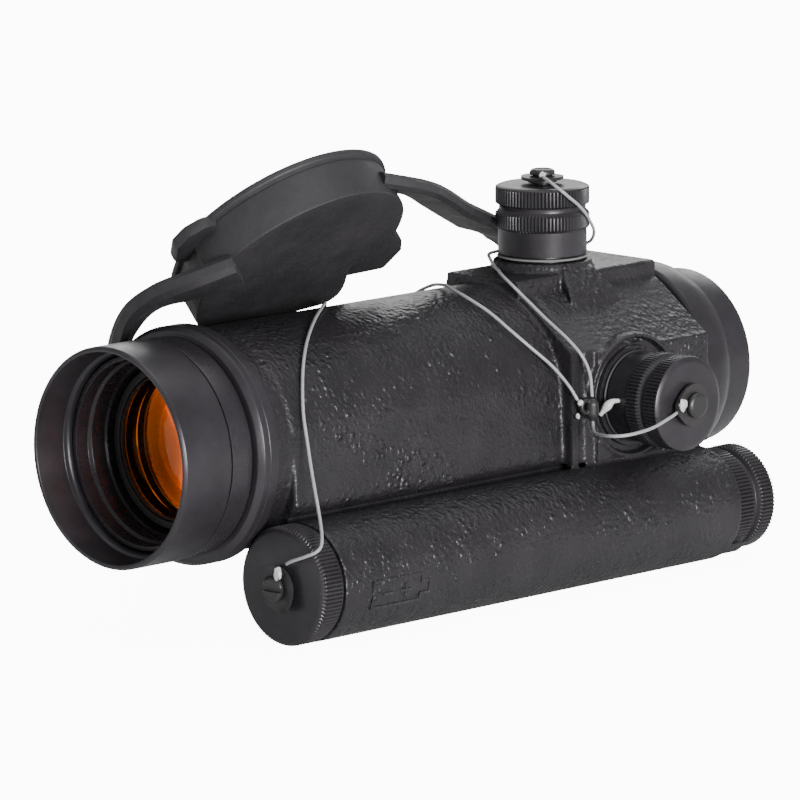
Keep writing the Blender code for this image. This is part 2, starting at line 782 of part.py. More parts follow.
def lens_cover():
    """The one-piece rubber cover, pulled off both ends: the front cup lies on the tube and the rear cup hangs
    behind it, joined by two straps."""
    front_place = frame_at((1.5, 36.5, 23.9), (-0.66, -0.01, 0.75), (0, 1, 0))
    rear_place = frame_at((-21.0, 52.0, -5.0), (-1, 0, 0.12), (0, 1, 0))
    cover = cover_cup("lens_cover", 17.4, 7.6, front_place, "cover_rubber")
    rear = cover_cup("rear_cup", 14.8, 8.0, rear_place, cutter=True)
    tab_outline = [(14.0, -3.2), (18.2, -2.6), (20.8, -1.0), (22.8, 1.8), (22.5, 6.6), (14.5, 7.0)]
    tab = prism("front_tab", tab_outline, 0.4, 2.6, front_place, cutter=True)
    lift_outline = [(-14.0, -5.6), (-18.6, -5.2), (-20.6, -3.2), (-20.8, -0.2), (-18.6, 3.6), (-14.0, 4.4)]
    lift_tab = prism("lift_tab", lift_outline, 5.4, 7.4, front_place, cutter=True)
    rear_tab = prism("rear_tab", rectangle((-3.5, 14.0), (3.5, 18.5)), 0.4, 2.6, rear_place, cutter=True)
    front_strap = [
        ((4.6, 21.4, 25.2), (-0.5, 0.75, -0.43)),
        ((1.0, 18.0, 23.4), (-0.37, 0.87, -0.33)),
        ((-4.0, 16.3, 21.5), (-0.12, 0.99, -0.12)),
        ((-9.3, 16.2, 19.1), (-0.03, 0.97, 0.23)),
        ((-14.1, 17.4, 15.5), (-0.17, 0.84, 0.52)),
        ((-18.0, 19.2, 11.3), (-0.53, 0.64, 0.55)),
        ((-19.6, 21.4, 5.6), (-0.6, 0.7, 0.3)),
        ((-21.2, 25.0, 0.2), (-0.4, 0.6, 0.6)),
        ((-23.0, 30.4, -3.8), (-0.1, 0.3, 0.9)),
        ((-24.8, 36.0, -5.6), (0.1, 0.0, 1.0)),
        ((-25.6, 40.4, -6.0), (0.1, 0.0, 1.0)),
    ]
    rear_strap = [
        ((9.0, 43.5, 36.2), (0.99, -0.07, 0.08)),
        ((9.6, 50.2, 34.6), (0.98, 0.17, 0.04)),
        ((6.8, 57.2, 32.7), (0.9, 0.42, -0.13)),
        ((-0.4, 69.1, 28.6), (0.88, 0.45, -0.15)),
        ((-10.9, 85.9, 23.3), (0.89, 0.46, -0.04)),
        ((-17.4, 98.6, 18.7), (0.91, 0.3, -0.3)),
        ((-18.2, 101.0, 13.4), (0.4, -0.6, -0.6)),
        ((-22.2, 96.0, 6.8), (-0.1, -0.6, -0.8)),
        ((-25.2, 87.6, 1.0), (-0.1, -0.2, -1.0)),
        ((-26.2, 77.0, -3.6), (-0.1, -0.1, -1.0)),
        ((-25.8, 64.8, -5.2), (-0.1, 0.0, -1.0)),
    ]
    join(
        cover,
        rear,
        tab,
        lift_tab,
        rear_tab,
        strap("front_strap", front_strap, 26),
        strap("rear_strap", rear_strap, 26),
    )


def main():
    global PARTS, CUTTERS
    clear_scene()
    PARTS = new_collection("red_dot_sight")
    CUTTERS = new_collection("cutters")
    CUTTERS.hide_render = True
    make_materials()
    main_housing()
    objective_end()
    optics()
    eyepiece_end()
    turret("elevation", ELEVATION, slotted=True)
    turret("windage", WINDAGE, slotted=False)
    cell_tube()
    switch()
    lanyard_eyelet()
    lanyards()
    lens_cover()
    for obj in PARTS.objects:
        if obj.type == "MESH":
            obj.data.shade_smooth()


main()
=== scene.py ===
import math

import bmesh
import bpy
from mathutils import Matrix, Vector, noise


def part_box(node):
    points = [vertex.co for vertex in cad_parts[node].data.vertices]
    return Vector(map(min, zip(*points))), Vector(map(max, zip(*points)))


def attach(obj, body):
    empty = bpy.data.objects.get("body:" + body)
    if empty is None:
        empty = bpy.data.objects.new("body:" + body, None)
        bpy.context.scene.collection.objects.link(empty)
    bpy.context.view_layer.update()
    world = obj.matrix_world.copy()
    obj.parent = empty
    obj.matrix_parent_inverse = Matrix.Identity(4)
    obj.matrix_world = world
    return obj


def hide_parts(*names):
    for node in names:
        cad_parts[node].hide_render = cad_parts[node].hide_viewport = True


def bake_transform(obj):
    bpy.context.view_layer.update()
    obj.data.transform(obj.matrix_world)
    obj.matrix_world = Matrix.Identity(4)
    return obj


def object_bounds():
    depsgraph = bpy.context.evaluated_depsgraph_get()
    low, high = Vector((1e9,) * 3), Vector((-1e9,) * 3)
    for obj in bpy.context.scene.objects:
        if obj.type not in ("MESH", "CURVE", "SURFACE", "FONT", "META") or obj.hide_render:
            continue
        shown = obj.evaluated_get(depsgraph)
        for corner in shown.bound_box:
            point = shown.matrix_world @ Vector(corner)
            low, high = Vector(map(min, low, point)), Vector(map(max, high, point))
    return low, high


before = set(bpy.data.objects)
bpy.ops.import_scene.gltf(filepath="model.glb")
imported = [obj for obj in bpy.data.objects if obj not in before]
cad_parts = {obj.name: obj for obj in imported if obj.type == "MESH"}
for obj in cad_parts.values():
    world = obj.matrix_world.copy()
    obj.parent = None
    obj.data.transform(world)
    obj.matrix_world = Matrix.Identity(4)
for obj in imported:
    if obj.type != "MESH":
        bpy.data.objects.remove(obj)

CAD_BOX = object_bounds()
MM = 0.001


# Places, worked out from the frame. Sizes are in millimetres: x across, s the distance behind the
# objective's rim, z the height above the optical axis.


def middle(node):
    low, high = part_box(node)
    return (low + high) / 2


def reach(node, axis):
    """Half of a node's width along X, Y or Z, in millimetres."""
    low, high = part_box(node)
    return (high[axis] - low[axis]) / 2 / MM


FRONT_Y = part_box("front_hood")[0].y
AXIS_Z = middle("front_hood").z
LENGTH = (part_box("eyepiece")[1].y - FRONT_Y) / MM
HOOD_R = reach("front_hood", 0)
CELL_X = middle("battery_cell").x / MM
CELL_Z = (middle("battery_cell").z - AXIS_Z) / MM
CELL_R = 8.65
CELL_S = (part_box("battery_cap")[1].y - FRONT_Y) / MM  # where the cap's skirt ends inside the cell tube
TURRET_S = (middle("elevation_cap").y - FRONT_Y) / MM
CAP_R = reach("elevation_cap", 0)
CAP_TOP = (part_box("elevation_cap")[1].z - AXIS_Z) / MM
CAP_BASE = (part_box("elevation_cap")[0].z - AXIS_Z) / MM
PAD_Z = (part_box("main_housing")[0].z - AXIS_Z) / MM
LENS_BACK = 15.6  # how far behind the rim the bore behind the lens starts


def point(x, s, z):
    return Vector((x * MM, FRONT_Y + s * MM, AXIS_Z + z * MM))


ALONG = Matrix.Rotation(math.radians(-90), 4, "X")
OPTICAL = Matrix.Translation(point(0, 0, 0)) @ ALONG
CELL = Matrix.Translation(point(CELL_X, 0, CELL_Z)) @ ALONG
CELL_FORWARD = CELL @ Matrix.Rotation(math.pi, 4, "X")
ELEVATION = Matrix.Translation(point(0, TURRET_S, 0))
WINDAGE = ELEVATION @ Matrix.Rotation(math.radians(90), 4, "Y")


# Camera, light and floor


def make_camera():
    data = bpy.data.cameras.new("camera")
    data.lens = 318.3
    data.sensor_width = 36
    data.clip_end = 20
    camera = bpy.data.objects.new("camera", data)
    bpy.context.scene.collection.objects.link(camera)
    aim = Vector((0.02821, -0.02994, 0.02698))
    azimuth = math.radians(45.1)
    elevation = math.radians(10.06)
    roll = Matrix.Rotation(math.radians(-0.36), 4, "Z")
    level = math.cos(elevation)
    back = Vector((math.sin(azimuth) * level, -math.cos(azimuth) * level, math.sin(elevation)))
    facing = back.to_track_quat("Z", "Y").to_matrix().to_4x4()
    camera.matrix_world = Matrix.Translation(aim + back) @ facing @ roll
    bpy.context.scene.camera = camera


def area_light(name, place, size, power):
    """A softbox that points at the middle of the object."""
    aim = Vector((0, 0, 0.02))
    data = bpy.data.lights.new(name, "AREA")
    data.shape = "RECTANGLE"
    data.size = size[0]
    data.size_y = size[1]
    data.energy = power
    light = bpy.data.objects.new(name, data)
    bpy.context.scene.collection.objects.link(light)
    light.location = place
    light.rotation_mode = "QUATERNION"
    light.rotation_quaternion = (Vector(place) - aim).to_track_quat("Z", "Y")


def add_node(tree, kind, **values):
    """A new shader node with these inputs set. An underscore stands for a space in an input's name."""
    node = tree.nodes.new("ShaderNode" + kind)
    for key, value in values.items():
        node.inputs[key.replace("_", " ")].default_value = value
    return node


def make_backdrop():
    """White where the camera sees it, and a dim fill everywhere else."""
    world = bpy.data.worlds.new("studio")
    bpy.context.scene.world = world
    world.use_nodes = True
    tree = world.node_tree
    tree.nodes.clear()
    seen = add_node(tree, "Background", Color=(1, 1, 1, 1), Strength=12.0)
    fill = add_node(tree, "Background", Color=(0.97, 0.98, 1, 1), Strength=0.38)
    path = add_node(tree, "LightPath")
    mix = add_node(tree, "MixShader")
    out = add_node(tree, "OutputWorld")
    tree.links.new(path.outputs["Is Camera Ray"], mix.inputs["Fac"])
    tree.links.new(fill.outputs["Background"], mix.inputs[1])
    tree.links.new(seen.outputs["Background"], mix.inputs[2])
    tree.links.new(mix.outputs["Shader"], out.inputs["Surface"])


def make_lights():
    area_light("top_softbox", (0.1, 0.1, 0.95), (0.9, 0.9), 3.7)
    area_light("right_softbox", (1.05, -0.3, 0.16), (0.4, 0.36), 20)
    area_light("front_softbox", (-0.45, -1.05, 0.45), (0.8, 0.7), 1.5)
    area_light("back_softbox", (-0.7, 0.9, 0.6), (0.8, 0.6), 5)


def make_floor():
    """A round sheet just under the lowest point of the object."""
    gap = 0.0001
    bm = bmesh.new()
    bmesh.ops.create_circle(bm, cap_ends=True, segments=128, radius=6)
    mesh = as_mesh("floor", bm)
    floor = bpy.data.objects.new("floor", mesh)
    bpy.context.scene.collection.objects.link(floor)
    lowest = min(CAD_BOX[0].z, point(0, 0, CELL_Z - CELL_R).z)
    floor.location = (0, 0, lowest - gap)
    mesh.materials.append(floor_finish())


# Materials

TOOL_MARKS = {"X": (1, 0.02, 0.02), "Y": (0.02, 1, 0.02), "Z": (0.02, 0.02, 1)}  # rings round an axis


class Paint:
    """A material's node tree, with short names for the nodes that every finish here uses."""

    def __init__(self, name):
        self.material = bpy.data.materials.new(name)
        self.material.use_nodes = True
        self.nodes = self.material.node_tree.nodes
        self.links = self.material.node_tree.links
        self.shader = self.nodes["Principled BSDF"]
        coords = self.node("TexCoord")
        scale = self.node("VectorMath")
        scale.operation = "SCALE"
        scale.inputs["Scale"].default_value = 1 / MM
        self.links.new(coords.outputs["Object"], scale.inputs[0])
        self.place = scale.outputs["Vector"]  # millimetres
        self.relief = None

    def set(self, **values):
        for key, value in values.items():
            self.shader.inputs[key.replace("_", " ")].default_value = value

    def node(self, kind, **values):
        return add_node(self.material.node_tree, kind, **values)

    def noise(self, per_mm, detail, rough, stretch=None):
        node = self.node("TexNoise", Scale=per_mm, Detail=detail, Roughness=rough)
        place = self.place
        if stretch:
            stretched = self.node("VectorMath")
            stretched.operation = "MULTIPLY"
            stretched.inputs[1].default_value = stretch
            self.links.new(place, stretched.inputs[0])
            place = stretched.outputs["Vector"]
        self.links.new(place, node.inputs["Vector"])
        return node.outputs["Fac"]

    def cells(self, per_mm, smooth):
        node = self.node("TexVoronoi", Scale=per_mm)
        node.feature = "SMOOTH_F1"
        node.inputs["Smoothness"].default_value = smooth
        self.links.new(self.place, node.inputs["Vector"])
        return node.outputs["Distance"]

    def range(self, value, low, high, new_low, new_high):
        node = self.node("MapRange", From_Min=low, From_Max=high, To_Min=new_low, To_Max=new_high)
        self.links.new(value, node.inputs["Value"])
        return node.outputs["Result"]

    def maths(self, operation, a, b):
        node = self.node("Math")
        node.operation = operation
        for socket, value in zip(node.inputs, (a, b)):
            if isinstance(value, (int, float)):
                socket.default_value = value
            else:
                self.links.new(value, socket)
        return node.outputs["Value"]

    def blend(self, share, first, second):
        node = self.node("Mix")
        node.data_type = "RGBA"
        self.links.new(share, node.inputs["Factor"])
        for socket, value in ((node.inputs["A"], first), (node.inputs["B"], second)):
            if isinstance(value, tuple):
                socket.default_value = (*value, 1)
            else:
                self.links.new(value, socket)
        return node.outputs["Result"]

    def bump(self, height, distance):
        """Relief this many millimetres deep, added to any there already."""
        node = self.node("Bump", Strength=1.0, Distance=distance * MM)
        self.links.new(height, node.inputs["Height"])
        if self.relief:
            self.links.new(self.relief, node.inputs["Normal"])
        self.relief = node.outputs["Normal"]
        self.links.new(self.relief, self.shader.inputs["Normal"])

    def colour(self, value):
        self.links.new(value, self.shader.inputs["Base Color"])

    def rough(self, value):
        self.links.new(value, self.shader.inputs["Roughness"])


def mottled(paint, base):
    """The base colour, a little lighter in soft patches."""
    dust = paint.range(paint.noise(0.12, 4.0, 0.6), 0.35, 0.75, 0, 1)
    return paint.blend(dust, base, tuple(c * 1.5 + 0.003 for c in base))


def worn(paint, base):
    """The mottled base colour, lighter where handling has rubbed an edge."""
    geometry = paint.node("NewGeometry")
    edges = paint.range(geometry.outputs["Pointiness"], 0.53, 0.66, 0, 1)
    patches = paint.range(paint.noise(1.3, 3.0, 0.6), 0.4, 0.7, 0, 0.5)
    rubbed = paint.maths("MULTIPLY", edges, patches)
    return paint.blend(rubbed, mottled(paint, base), (0.12, 0.118, 0.12))


def anodised(name, axis, base=(0.025, 0.0225, 0.026), roughness=0.34, lines=0.012):
    """Turned and black anodised metal. The axis is the one it was turned round: X, Y or Z."""
    paint = Paint(name)
    paint.set(Metallic=0.35, IOR=1.5)
    scuffs = paint.range(paint.noise(3.2, 4.0, 0.7), 0.68, 0.78, 0, 0.35)
    paint.colour(paint.blend(scuffs, mottled(paint, base), (0.16, 0.155, 0.15)))
    cloud = paint.noise(0.25, 4.0, 0.6)
    paint.rough(paint.range(cloud, 0.3, 0.7, roughness - 0.06, roughness + 0.08))
    paint.bump(paint.noise(9.0, 2.0, 0.5, TOOL_MARKS[axis]), lines)
    paint.bump(paint.noise(6.0, 3.0, 0.6), 0.012)
    return paint.material


def cast_finish():
    """Sand-cast aluminium under a thick black coat: satin, with round pimples and fine grit."""
    paint = Paint("cast_anodised")
    paint.set(Metallic=0.3, IOR=1.5)
    paint.colour(worn(paint, (0.0185, 0.0165, 0.019)))
    patches = paint.range(paint.noise(0.08, 2.0, 0.5), 0.38, 0.56, 0.25, 1.0)
    pimples = paint.range(paint.cells(0.9, 0.35), 0.05, 0.52, 1, 0)
    chosen = paint.range(paint.noise(0.4, 1.0, 0.4), 0.46, 0.6, 0.0, 1)
    scattered = paint.maths("MULTIPLY", pimples, chosen)
    paint.rough(paint.range(paint.noise(1.2, 4.0, 0.6), 0.3, 0.7, 0.33, 0.46))
    paint.bump(paint.maths("MULTIPLY", paint.noise(1.2, 1.0, 0.35), patches), 0.3)
    paint.bump(paint.maths("MULTIPLY", scattered, patches), 0.26)
    paint.bump(paint.noise(2.4, 2.0, 0.5), 0.06)
    return paint.material


def rubber_finish():
    """Soft black rubber with a faint dusty bloom."""
    base = (0.017, 0.0155, 0.0175)
    paint = Paint("cover_rubber")
    paint.set(Metallic=0.0, IOR=1.5)
    smear = paint.range(paint.noise(0.07, 5.0, 0.65), 0.42, 0.72, 0, 1)
    paint.colour(paint.blend(smear, base, tuple(c * 1.7 for c in base)))
    paint.rough(paint.range(paint.noise(0.4, 4.0, 0.6), 0.3, 0.7, 0.49, 0.64))
    paint.bump(paint.noise(0.22, 3.0, 0.5), 0.25)
    paint.bump(paint.noise(7.0, 3.0, 0.6), 0.02)
    return paint.material


def steel_finish():
    colour = (0.55, 0.55, 0.56)
    paint = Paint("bright_steel")
    paint.set(Metallic=1.0)
    streaks = paint.noise(3.0, 4.0, 0.6, TOOL_MARKS["Y"])
    paint.colour(paint.blend(streaks, colour, tuple(c * 0.7 for c in colour)))
    paint.rough(paint.range(streaks, 0.3, 0.7, 0.22, 0.4))
    paint.bump(streaks, 0.02)
    return paint.material


def bore_finish():
    """Turned metal inside the optical tube, warm in colour. Painted light: an emitted glow, brightest in a
    narrow ring just behind the lens and fading deeper in, stands in for the light the lens lets in.
    """
    paint = Paint("bore_painted_glow")
    paint.set(Metallic=1.0, Roughness=0.34)
    streaks = paint.noise(3.0, 4.0, 0.6, TOOL_MARKS["Y"])
    paint.colour(paint.blend(streaks, (0.95, 0.78, 0.5), (0.7, 0.52, 0.3)))
    paint.set(Emission_Color=(1.0, 0.74, 0.42, 1))
    # Painted light: emission strength 1.3 at the lens end of the bore, fading within 2.4 mm, plus a dimmer
    # glow that fades over 40 mm.
    split = paint.node("SeparateXYZ")
    paint.links.new(paint.place, split.inputs["Vector"])
    front = FRONT_Y / MM + LENS_BACK
    rim_depth, lit_depth = 2.4, 40.0
    rim = paint.range(split.outputs["Y"], front, front + rim_depth, 1.3, 0.0)
    deep = paint.range(split.outputs["Y"], front, front + lit_depth, 0.6, 0.12)
    glow = paint.maths("ADD", rim, deep)
    paint.links.new(glow, paint.shader.inputs["Emission Strength"])
    return paint.material


def floor_finish():
    """White paper, lit so brightly that the camera sees it merge with the backdrop."""
    paint = Paint("white_sweep")
    paint.set(Base_Color=(0.85, 0.85, 0.85, 1), Roughness=0.9, Specular_IOR_Level=0.0)
    paint.set(Emission_Color=(1, 1, 1, 1))
    path = paint.node("LightPath")
    glow = paint.range(path.outputs["Is Camera Ray"], 0, 1, 0.04, 11.0)
    paint.links.new(glow, paint.shader.inputs["Emission Strength"])
    return paint.material


def plain_finish(name, colour, roughness, metallic=0.0):
    """Moulded or painted stuff, with a little unevenness."""
    paint = Paint(name)
    paint.set(Metallic=metallic)
    cloud = paint.noise(0.4, 4.0, 0.6)
    paint.colour(paint.blend(cloud, colour, tuple(c * 0.75 for c in colour)))
    paint.rough(paint.range(cloud, 0.3, 0.7, roughness - 0.06, roughness + 0.06))
    paint.bump(paint.noise(4.0, 3.0, 0.6), 0.015)
    return paint.material


def line_finish():
    """Clear drawn nylon gone milky."""
    paint = Paint("nylon_line")
    paint.set(Metallic=0.0, IOR=1.53)
    cloud = paint.noise(0.5, 3.0, 0.6)
    paint.colour(paint.blend(cloud, (0.4, 0.4, 0.41), (0.27, 0.27, 0.28)))
    paint.rough(paint.range(cloud, 0.3, 0.7, 0.28, 0.42))
    depth = 0.0008
    paint.set(Subsurface_Weight=0.3, Subsurface_Radius=(depth, depth, depth), Subsurface_Scale=1.0)
    paint.bump(paint.noise(2.0, 3.0, 0.6), 0.02)
    return paint.material


def glass_finish(name, tint, share, gloss_tint):
    """Coated glass: tinted see-through, with a mirror coat that grows at a glancing angle."""
    paint = Paint(name)
    links = paint.links
    paint.nodes.remove(paint.shader)
    through = paint.node("BsdfTransparent", Color=(*tint, 1))
    coat = paint.node("BsdfGlossy", Color=(*gloss_tint, 1))
    haze = paint.range(paint.noise(0.3, 4.0, 0.6), 0.35, 0.75, 0.03, 0.075)
    links.new(haze, coat.inputs["Roughness"])
    fresnel = paint.node("Fresnel", IOR=1.5)
    amount = paint.maths("ADD", fresnel.outputs["Fac"], share)
    mix = paint.node("MixShader")
    links.new(amount, mix.inputs["Fac"])
    links.new(through.outputs["BSDF"], mix.inputs[1])
    links.new(coat.outputs["BSDF"], mix.inputs[2])
    links.new(mix.outputs["Shader"], paint.nodes["Material Output"].inputs["Surface"])
    return paint.material


def make_finishes():
    return {
        "cast_anodised": cast_finish(),
        "machined_y": anodised("machined_anodised", "Y"),
        "machined_z": anodised("machined_anodised_upright", "Z"),
        "machined_x": anodised("machined_anodised_across", "X"),
        "machined_inner": anodised("machined_anodised_bore", "Y", roughness=0.26, lines=0.03),
        "brass_y": anodised("blackened_brass", "Y", (0.028, 0.026, 0.027), 0.36),
        "black_alloy": anodised("black_alloy", "Y", (0.03, 0.028, 0.029), 0.36),
        "bore_glow_painted": bore_finish(),
        "bright_steel": steel_finish(),
        "cover_rubber": rubber_finish(),
        "pale_seal": plain_finish("pale_seal", (0.22, 0.22, 0.22), 0.6),
        "amber_glass": glass_finish("amber_glass", (1.0, 0.72, 0.17), 0.03, (1.0, 0.6, 0.4)),
        "clear_glass": glass_finish("clear_glass", (0.93, 0.97, 0.96), 0.02, (0.9, 0.95, 1.0)),
        "board": plain_finish("board", (0.03, 0.16, 0.07), 0.5),
        "black_nylon": plain_finish("black_nylon", (0.03, 0.03, 0.032), 0.5),
        "nylon_line": line_finish(),
        "knot": plain_finish("melted_nylon", (0.6, 0.6, 0.59), 0.42),
        "cell_jacket": plain_finish("cell_jacket", (0.16, 0.18, 0.2), 0.35, 0.3),
        "red_emitter": plain_finish("red_emitter", (0.6, 0.03, 0.02), 0.3),
    }


FINISH = {}


# Shape tools

CREASE = 32  # degrees: corners sharper than this stay crisp
ON_AXIS = 1e-6  # millimetres: a corner nearer than this to the axis lies on it


def shade(mesh, crease=CREASE):
    mesh.shade_smooth()
    mesh.set_sharp_from_angle(angle=math.radians(crease))


def as_mesh(name, bm):
    mesh = bpy.data.meshes.new(name)
    bm.to_mesh(mesh)
    bm.free()
    return mesh


def add_piece(name, bm, finish=None, crease=CREASE, place=None):
    """A new object with this shape, moved to its place."""
    mesh = as_mesh(name, bm)
    obj = bpy.data.objects.new(name, mesh)
    bpy.context.scene.collection.objects.link(obj)
    if finish:
        mesh.materials.append(FINISH[finish])
    shade(mesh, crease)
    if place is not None:
        mesh.transform(place)
    return obj


def rounded(profile, radius, closed):
    """The profile with each corner replaced by a short arc, so that edges catch the light."""
    arc_steps = 3
    most_of_edge = 0.42
    result = []
    count = len(profile)
    for i, item in enumerate(profile):
        here = Vector(item[:2])
        at_end = not closed and i in (0, count - 1)
        if at_end or here.x < ON_AXIS or (len(item) > 2 and item[2] == 0):
            result.append(here)
            continue
        before = Vector(profile[i - 1][:2])
        after = Vector(profile[(i + 1) % count][:2])
        size = item[2] if len(item) > 2 else radius
        size = min(size, (here - before).length * most_of_edge, (after - here).length * most_of_edge)
        start = here + (before - here).normalized() * size
        end = here + (after - here).normalized() * size
        for step in range(arc_steps + 1):
            t = step / arc_steps
            result.append(start * (1 - t) ** 2 + here * 2 * t * (1 - t) + end * t**2)
    return result


def fluted(radius, depth, flutes, angle):
    """The radius at this angle round the axis: narrow V grooves between flat-topped ribs."""
    groove_half = 0.3
    phase = (angle * flutes / (2 * math.pi)) % 1.0
    groove = max(0.0, 1 - abs(phase - 0.5) / groove_half)
    return radius - depth * groove


def bridge(bm, low, high, steps):
    """Faces between two rings, either of which may be one point on the axis."""
    if len(low) == 1 and len(high) == 1:
        return
    for i in range(steps):
        j = (i + 1) % steps
        if len(low) == 1:
            bm.faces.new((low[0], high[j], high[i]))
        elif len(high) == 1:
            bm.faces.new((low[i], low[j], high[0]))
        else:
            bm.faces.new((low[i], low[j], high[j], high[i]))


def turned(name, profile, finish, place, steps=144, edge=0.12, flutes=None):
    """A turned solid from (radius, distance along the axis) corners.

    flutes is (count, depth, [(from, to, least radius), ...]): straight knurling on the outside
    between those distances.
    """
    steps_per_flute = 6
    on_axis = profile[0][0] == 0
    outline = rounded(profile, edge, closed=not on_axis)
    count, depth, bands = flutes or (0, 0, [])
    if flutes:
        steps = count * steps_per_flute
    area = sum(a.x * b.y - b.x * a.y for a, b in zip(outline, outline[1:] + outline[:1]))
    if area > 0:
        outline.reverse()
    bm = bmesh.new()
    rings = []
    for r, h in outline:
        if r < ON_AXIS:
            rings.append([bm.verts.new((0, 0, h * MM))])
            continue
        knurled = any(low <= h <= high and r > limit for low, high, limit in bands)
        ring = []
        for step in range(steps):
            angle = 2 * math.pi * step / steps
            out = fluted(r, depth, count, angle) if knurled else r
            ring.append(bm.verts.new((out * MM * math.cos(angle), out * MM * math.sin(angle), h * MM)))
        rings.append(ring)
    for low, high in zip(rings, rings[1:]):
        bridge(bm, low, high, steps)
    if not on_axis:
        bridge(bm, rings[-1], rings[0], steps)
    bmesh.ops.recalc_face_normals(bm, faces=bm.faces)
    return add_piece(name, bm, finish, place=place)


def disc(name, radius, start, end, place, steps=96):
    return turned(name, [(0, start), (radius, start), (radius, end), (0, end)], None, place, steps)


def prism(name, outline, start, end, place, bevel=0.0):
    bm = bmesh.new()
    low = [bm.verts.new(Vector((x, y, start)) * MM) for x, y in outline]
    high = [bm.verts.new(Vector((x, y, end)) * MM) for x, y in outline]
    bm.faces.new(low)
    bm.faces.new(high[::-1])
    bridge(bm, low, high, len(outline))
    bmesh.ops.recalc_face_normals(bm, faces=bm.faces)
    if bevel:
        bmesh.ops.bevel(
            bm,
            geom=list(bm.edges),
            offset=bevel * MM,
            segments=2,
            profile=0.6,
            affect="EDGES",
            clamp_overlap=True,
        )
    return add_piece(name, bm, place=place)


def section(name, outline, start, end, bevel=0.0):
    """A cross-section of the body, as (x, z) corners, between two distances behind the rim."""
    return prism(name, [(x, -z) for x, z in outline], start, end, OPTICAL, bevel)


def rectangle(low, high):
    return [(low[0], low[1]), (high[0], low[1]), (high[0], high[1]), (low[0], high[1])]


def arc(radius, start, end, count):
    angles = [math.radians(start + (end - start) * i / (count - 1)) for i in range(count)]
    return [(radius * math.cos(a), radius * math.sin(a)) for a in angles]


def merged(name, pieces, finish=None):
    """One object that holds the meshes of all the pieces, which overlap."""
    bm = bmesh.new()
    for piece in pieces:
        bm.from_mesh(piece.data)
    for piece in pieces:
        bpy.data.objects.remove(piece, do_unlink=True)
    return add_piece(name, bm, finish)


def apply_modifiers(obj):
    graph = bpy.context.evaluated_depsgraph_get()
    mesh = bpy.data.meshes.new_from_object(obj.evaluated_get(graph))
    obj.modifiers.clear()
    old = obj.data
    obj.data = mesh
    bpy.data.meshes.remove(old)


def fused(obj, voxel, smoothing):
    """Overlapping shells made into one skin, with the soft corners of a casting or a moulding."""
    remesh = obj.modifiers.new("Fuse", "REMESH")
    remesh.mode = "VOXEL"
    remesh.voxel_size = voxel * MM
    remesh.adaptivity = 0
    soften = obj.modifiers.new("Soften", "SMOOTH")
    soften.factor = 0.5
    soften.iterations = smoothing
    apply_modifiers(obj)


def cut(obj, cutters):
    for cutter in cutters:
        boolean = obj.modifiers.new("Cut", "BOOLEAN")
        boolean.operation = "DIFFERENCE"
        boolean.solver = "MANIFOLD"
        boolean.object = cutter
    apply_modifiers(obj)
    for cutter in cutters:
        bpy.data.objects.remove(cutter, do_unlink=True)


def fewer_faces(obj, triangles):
    """Thins the mesh to about this many triangles, if it has more."""
    obj.data.calc_loop_triangles()
    now = len(obj.data.loop_triangles)
    if now > triangles:
        decimate = obj.modifiers.new("Thin", "DECIMATE")
        decimate.ratio = triangles / now
        apply_modifiers(obj)


def on_curve(a, b, c, d, t):
    """The point at share t of the way from b to c, on a smooth curve through all four points."""
    slope = c - a
    bend = a * 2 - b * 5 + c * 4 - d
    twist = b * 3 - a - c * 3 + d
    return (b * 2 + slope * t + bend * t**2 + twist * t**3) / 2


def smooth_path(route, spacing):
    """Evenly spread points, in metres, on a smooth curve through the route's points."""
    steps = 24
    ends = [route[0] * 2 - route[1]] + route + [route[-1] * 2 - route[-2]]
    fine = []
    for a, b, c, d in zip(ends, ends[1:], ends[2:], ends[3:]):
        fine += [on_curve(a, b, c, d, step / steps) for step in range(steps)]
    fine.append(route[-1])
    run = [0.0]
    for a, b in zip(fine, fine[1:]):
        run.append(run[-1] + (b - a).length)
    count = max(2, round(run[-1] / spacing) + 1)
    result = []
    j = 0
    for i in range(count):
        target = run[-1] * i / (count - 1)
        while j < len(run) - 2 and run[j + 1] < target:
            j += 1
        share = (target - run[j]) / (run[j + 1] - run[j])
        result.append(fine[j].lerp(fine[j + 1], min(share, 1.0)))
    return result


def swept(name, path, outlines, finish):
    """A closed loft of outlines, each a list of (side, up) pairs, along frames (centre, side, up)."""
    loft_crease = 50
    bm = bmesh.new()
    loops = []
    for (centre, side, up), outline in zip(path, outlines):
        loops.append([bm.verts.new(centre + side * (a * MM) + up * (b * MM)) for a, b in outline])
    bm.faces.new(loops[0])
    bm.faces.new(loops[-1][::-1])
    count = len(loops[0])
    for low, high in zip(loops, loops[1:]):
        for i in range(count):
            j = (i + 1) % count
            bm.faces.new((low[i], high[i], high[j], low[j]))
    bmesh.ops.recalc_face_normals(bm, faces=bm.faces)
    return add_piece(name, bm, finish, loft_crease)


def round_outline(radius):
    sides = 12
    angles = [2 * math.pi * i / sides for i in range(sides)]
    return [(radius * math.cos(a), radius * math.sin(a)) for a in angles]


def heading(points, i):
    """The direction in which a path runs at its point i."""
    return (points[min(i + 1, len(points) - 1)] - points[max(i - 1, 0)]).normalized()


def follow(points):
    """Frames along the points that turn no more than they must."""
    frames = []
    side = (points[1] - points[0]).orthogonal().normalized()
    for i, centre in enumerate(points):
        ahead = heading(points, i)
        side = (side - ahead * side.dot(ahead)).normalized()
        frames.append((centre, side, ahead.cross(side)))
    return frames


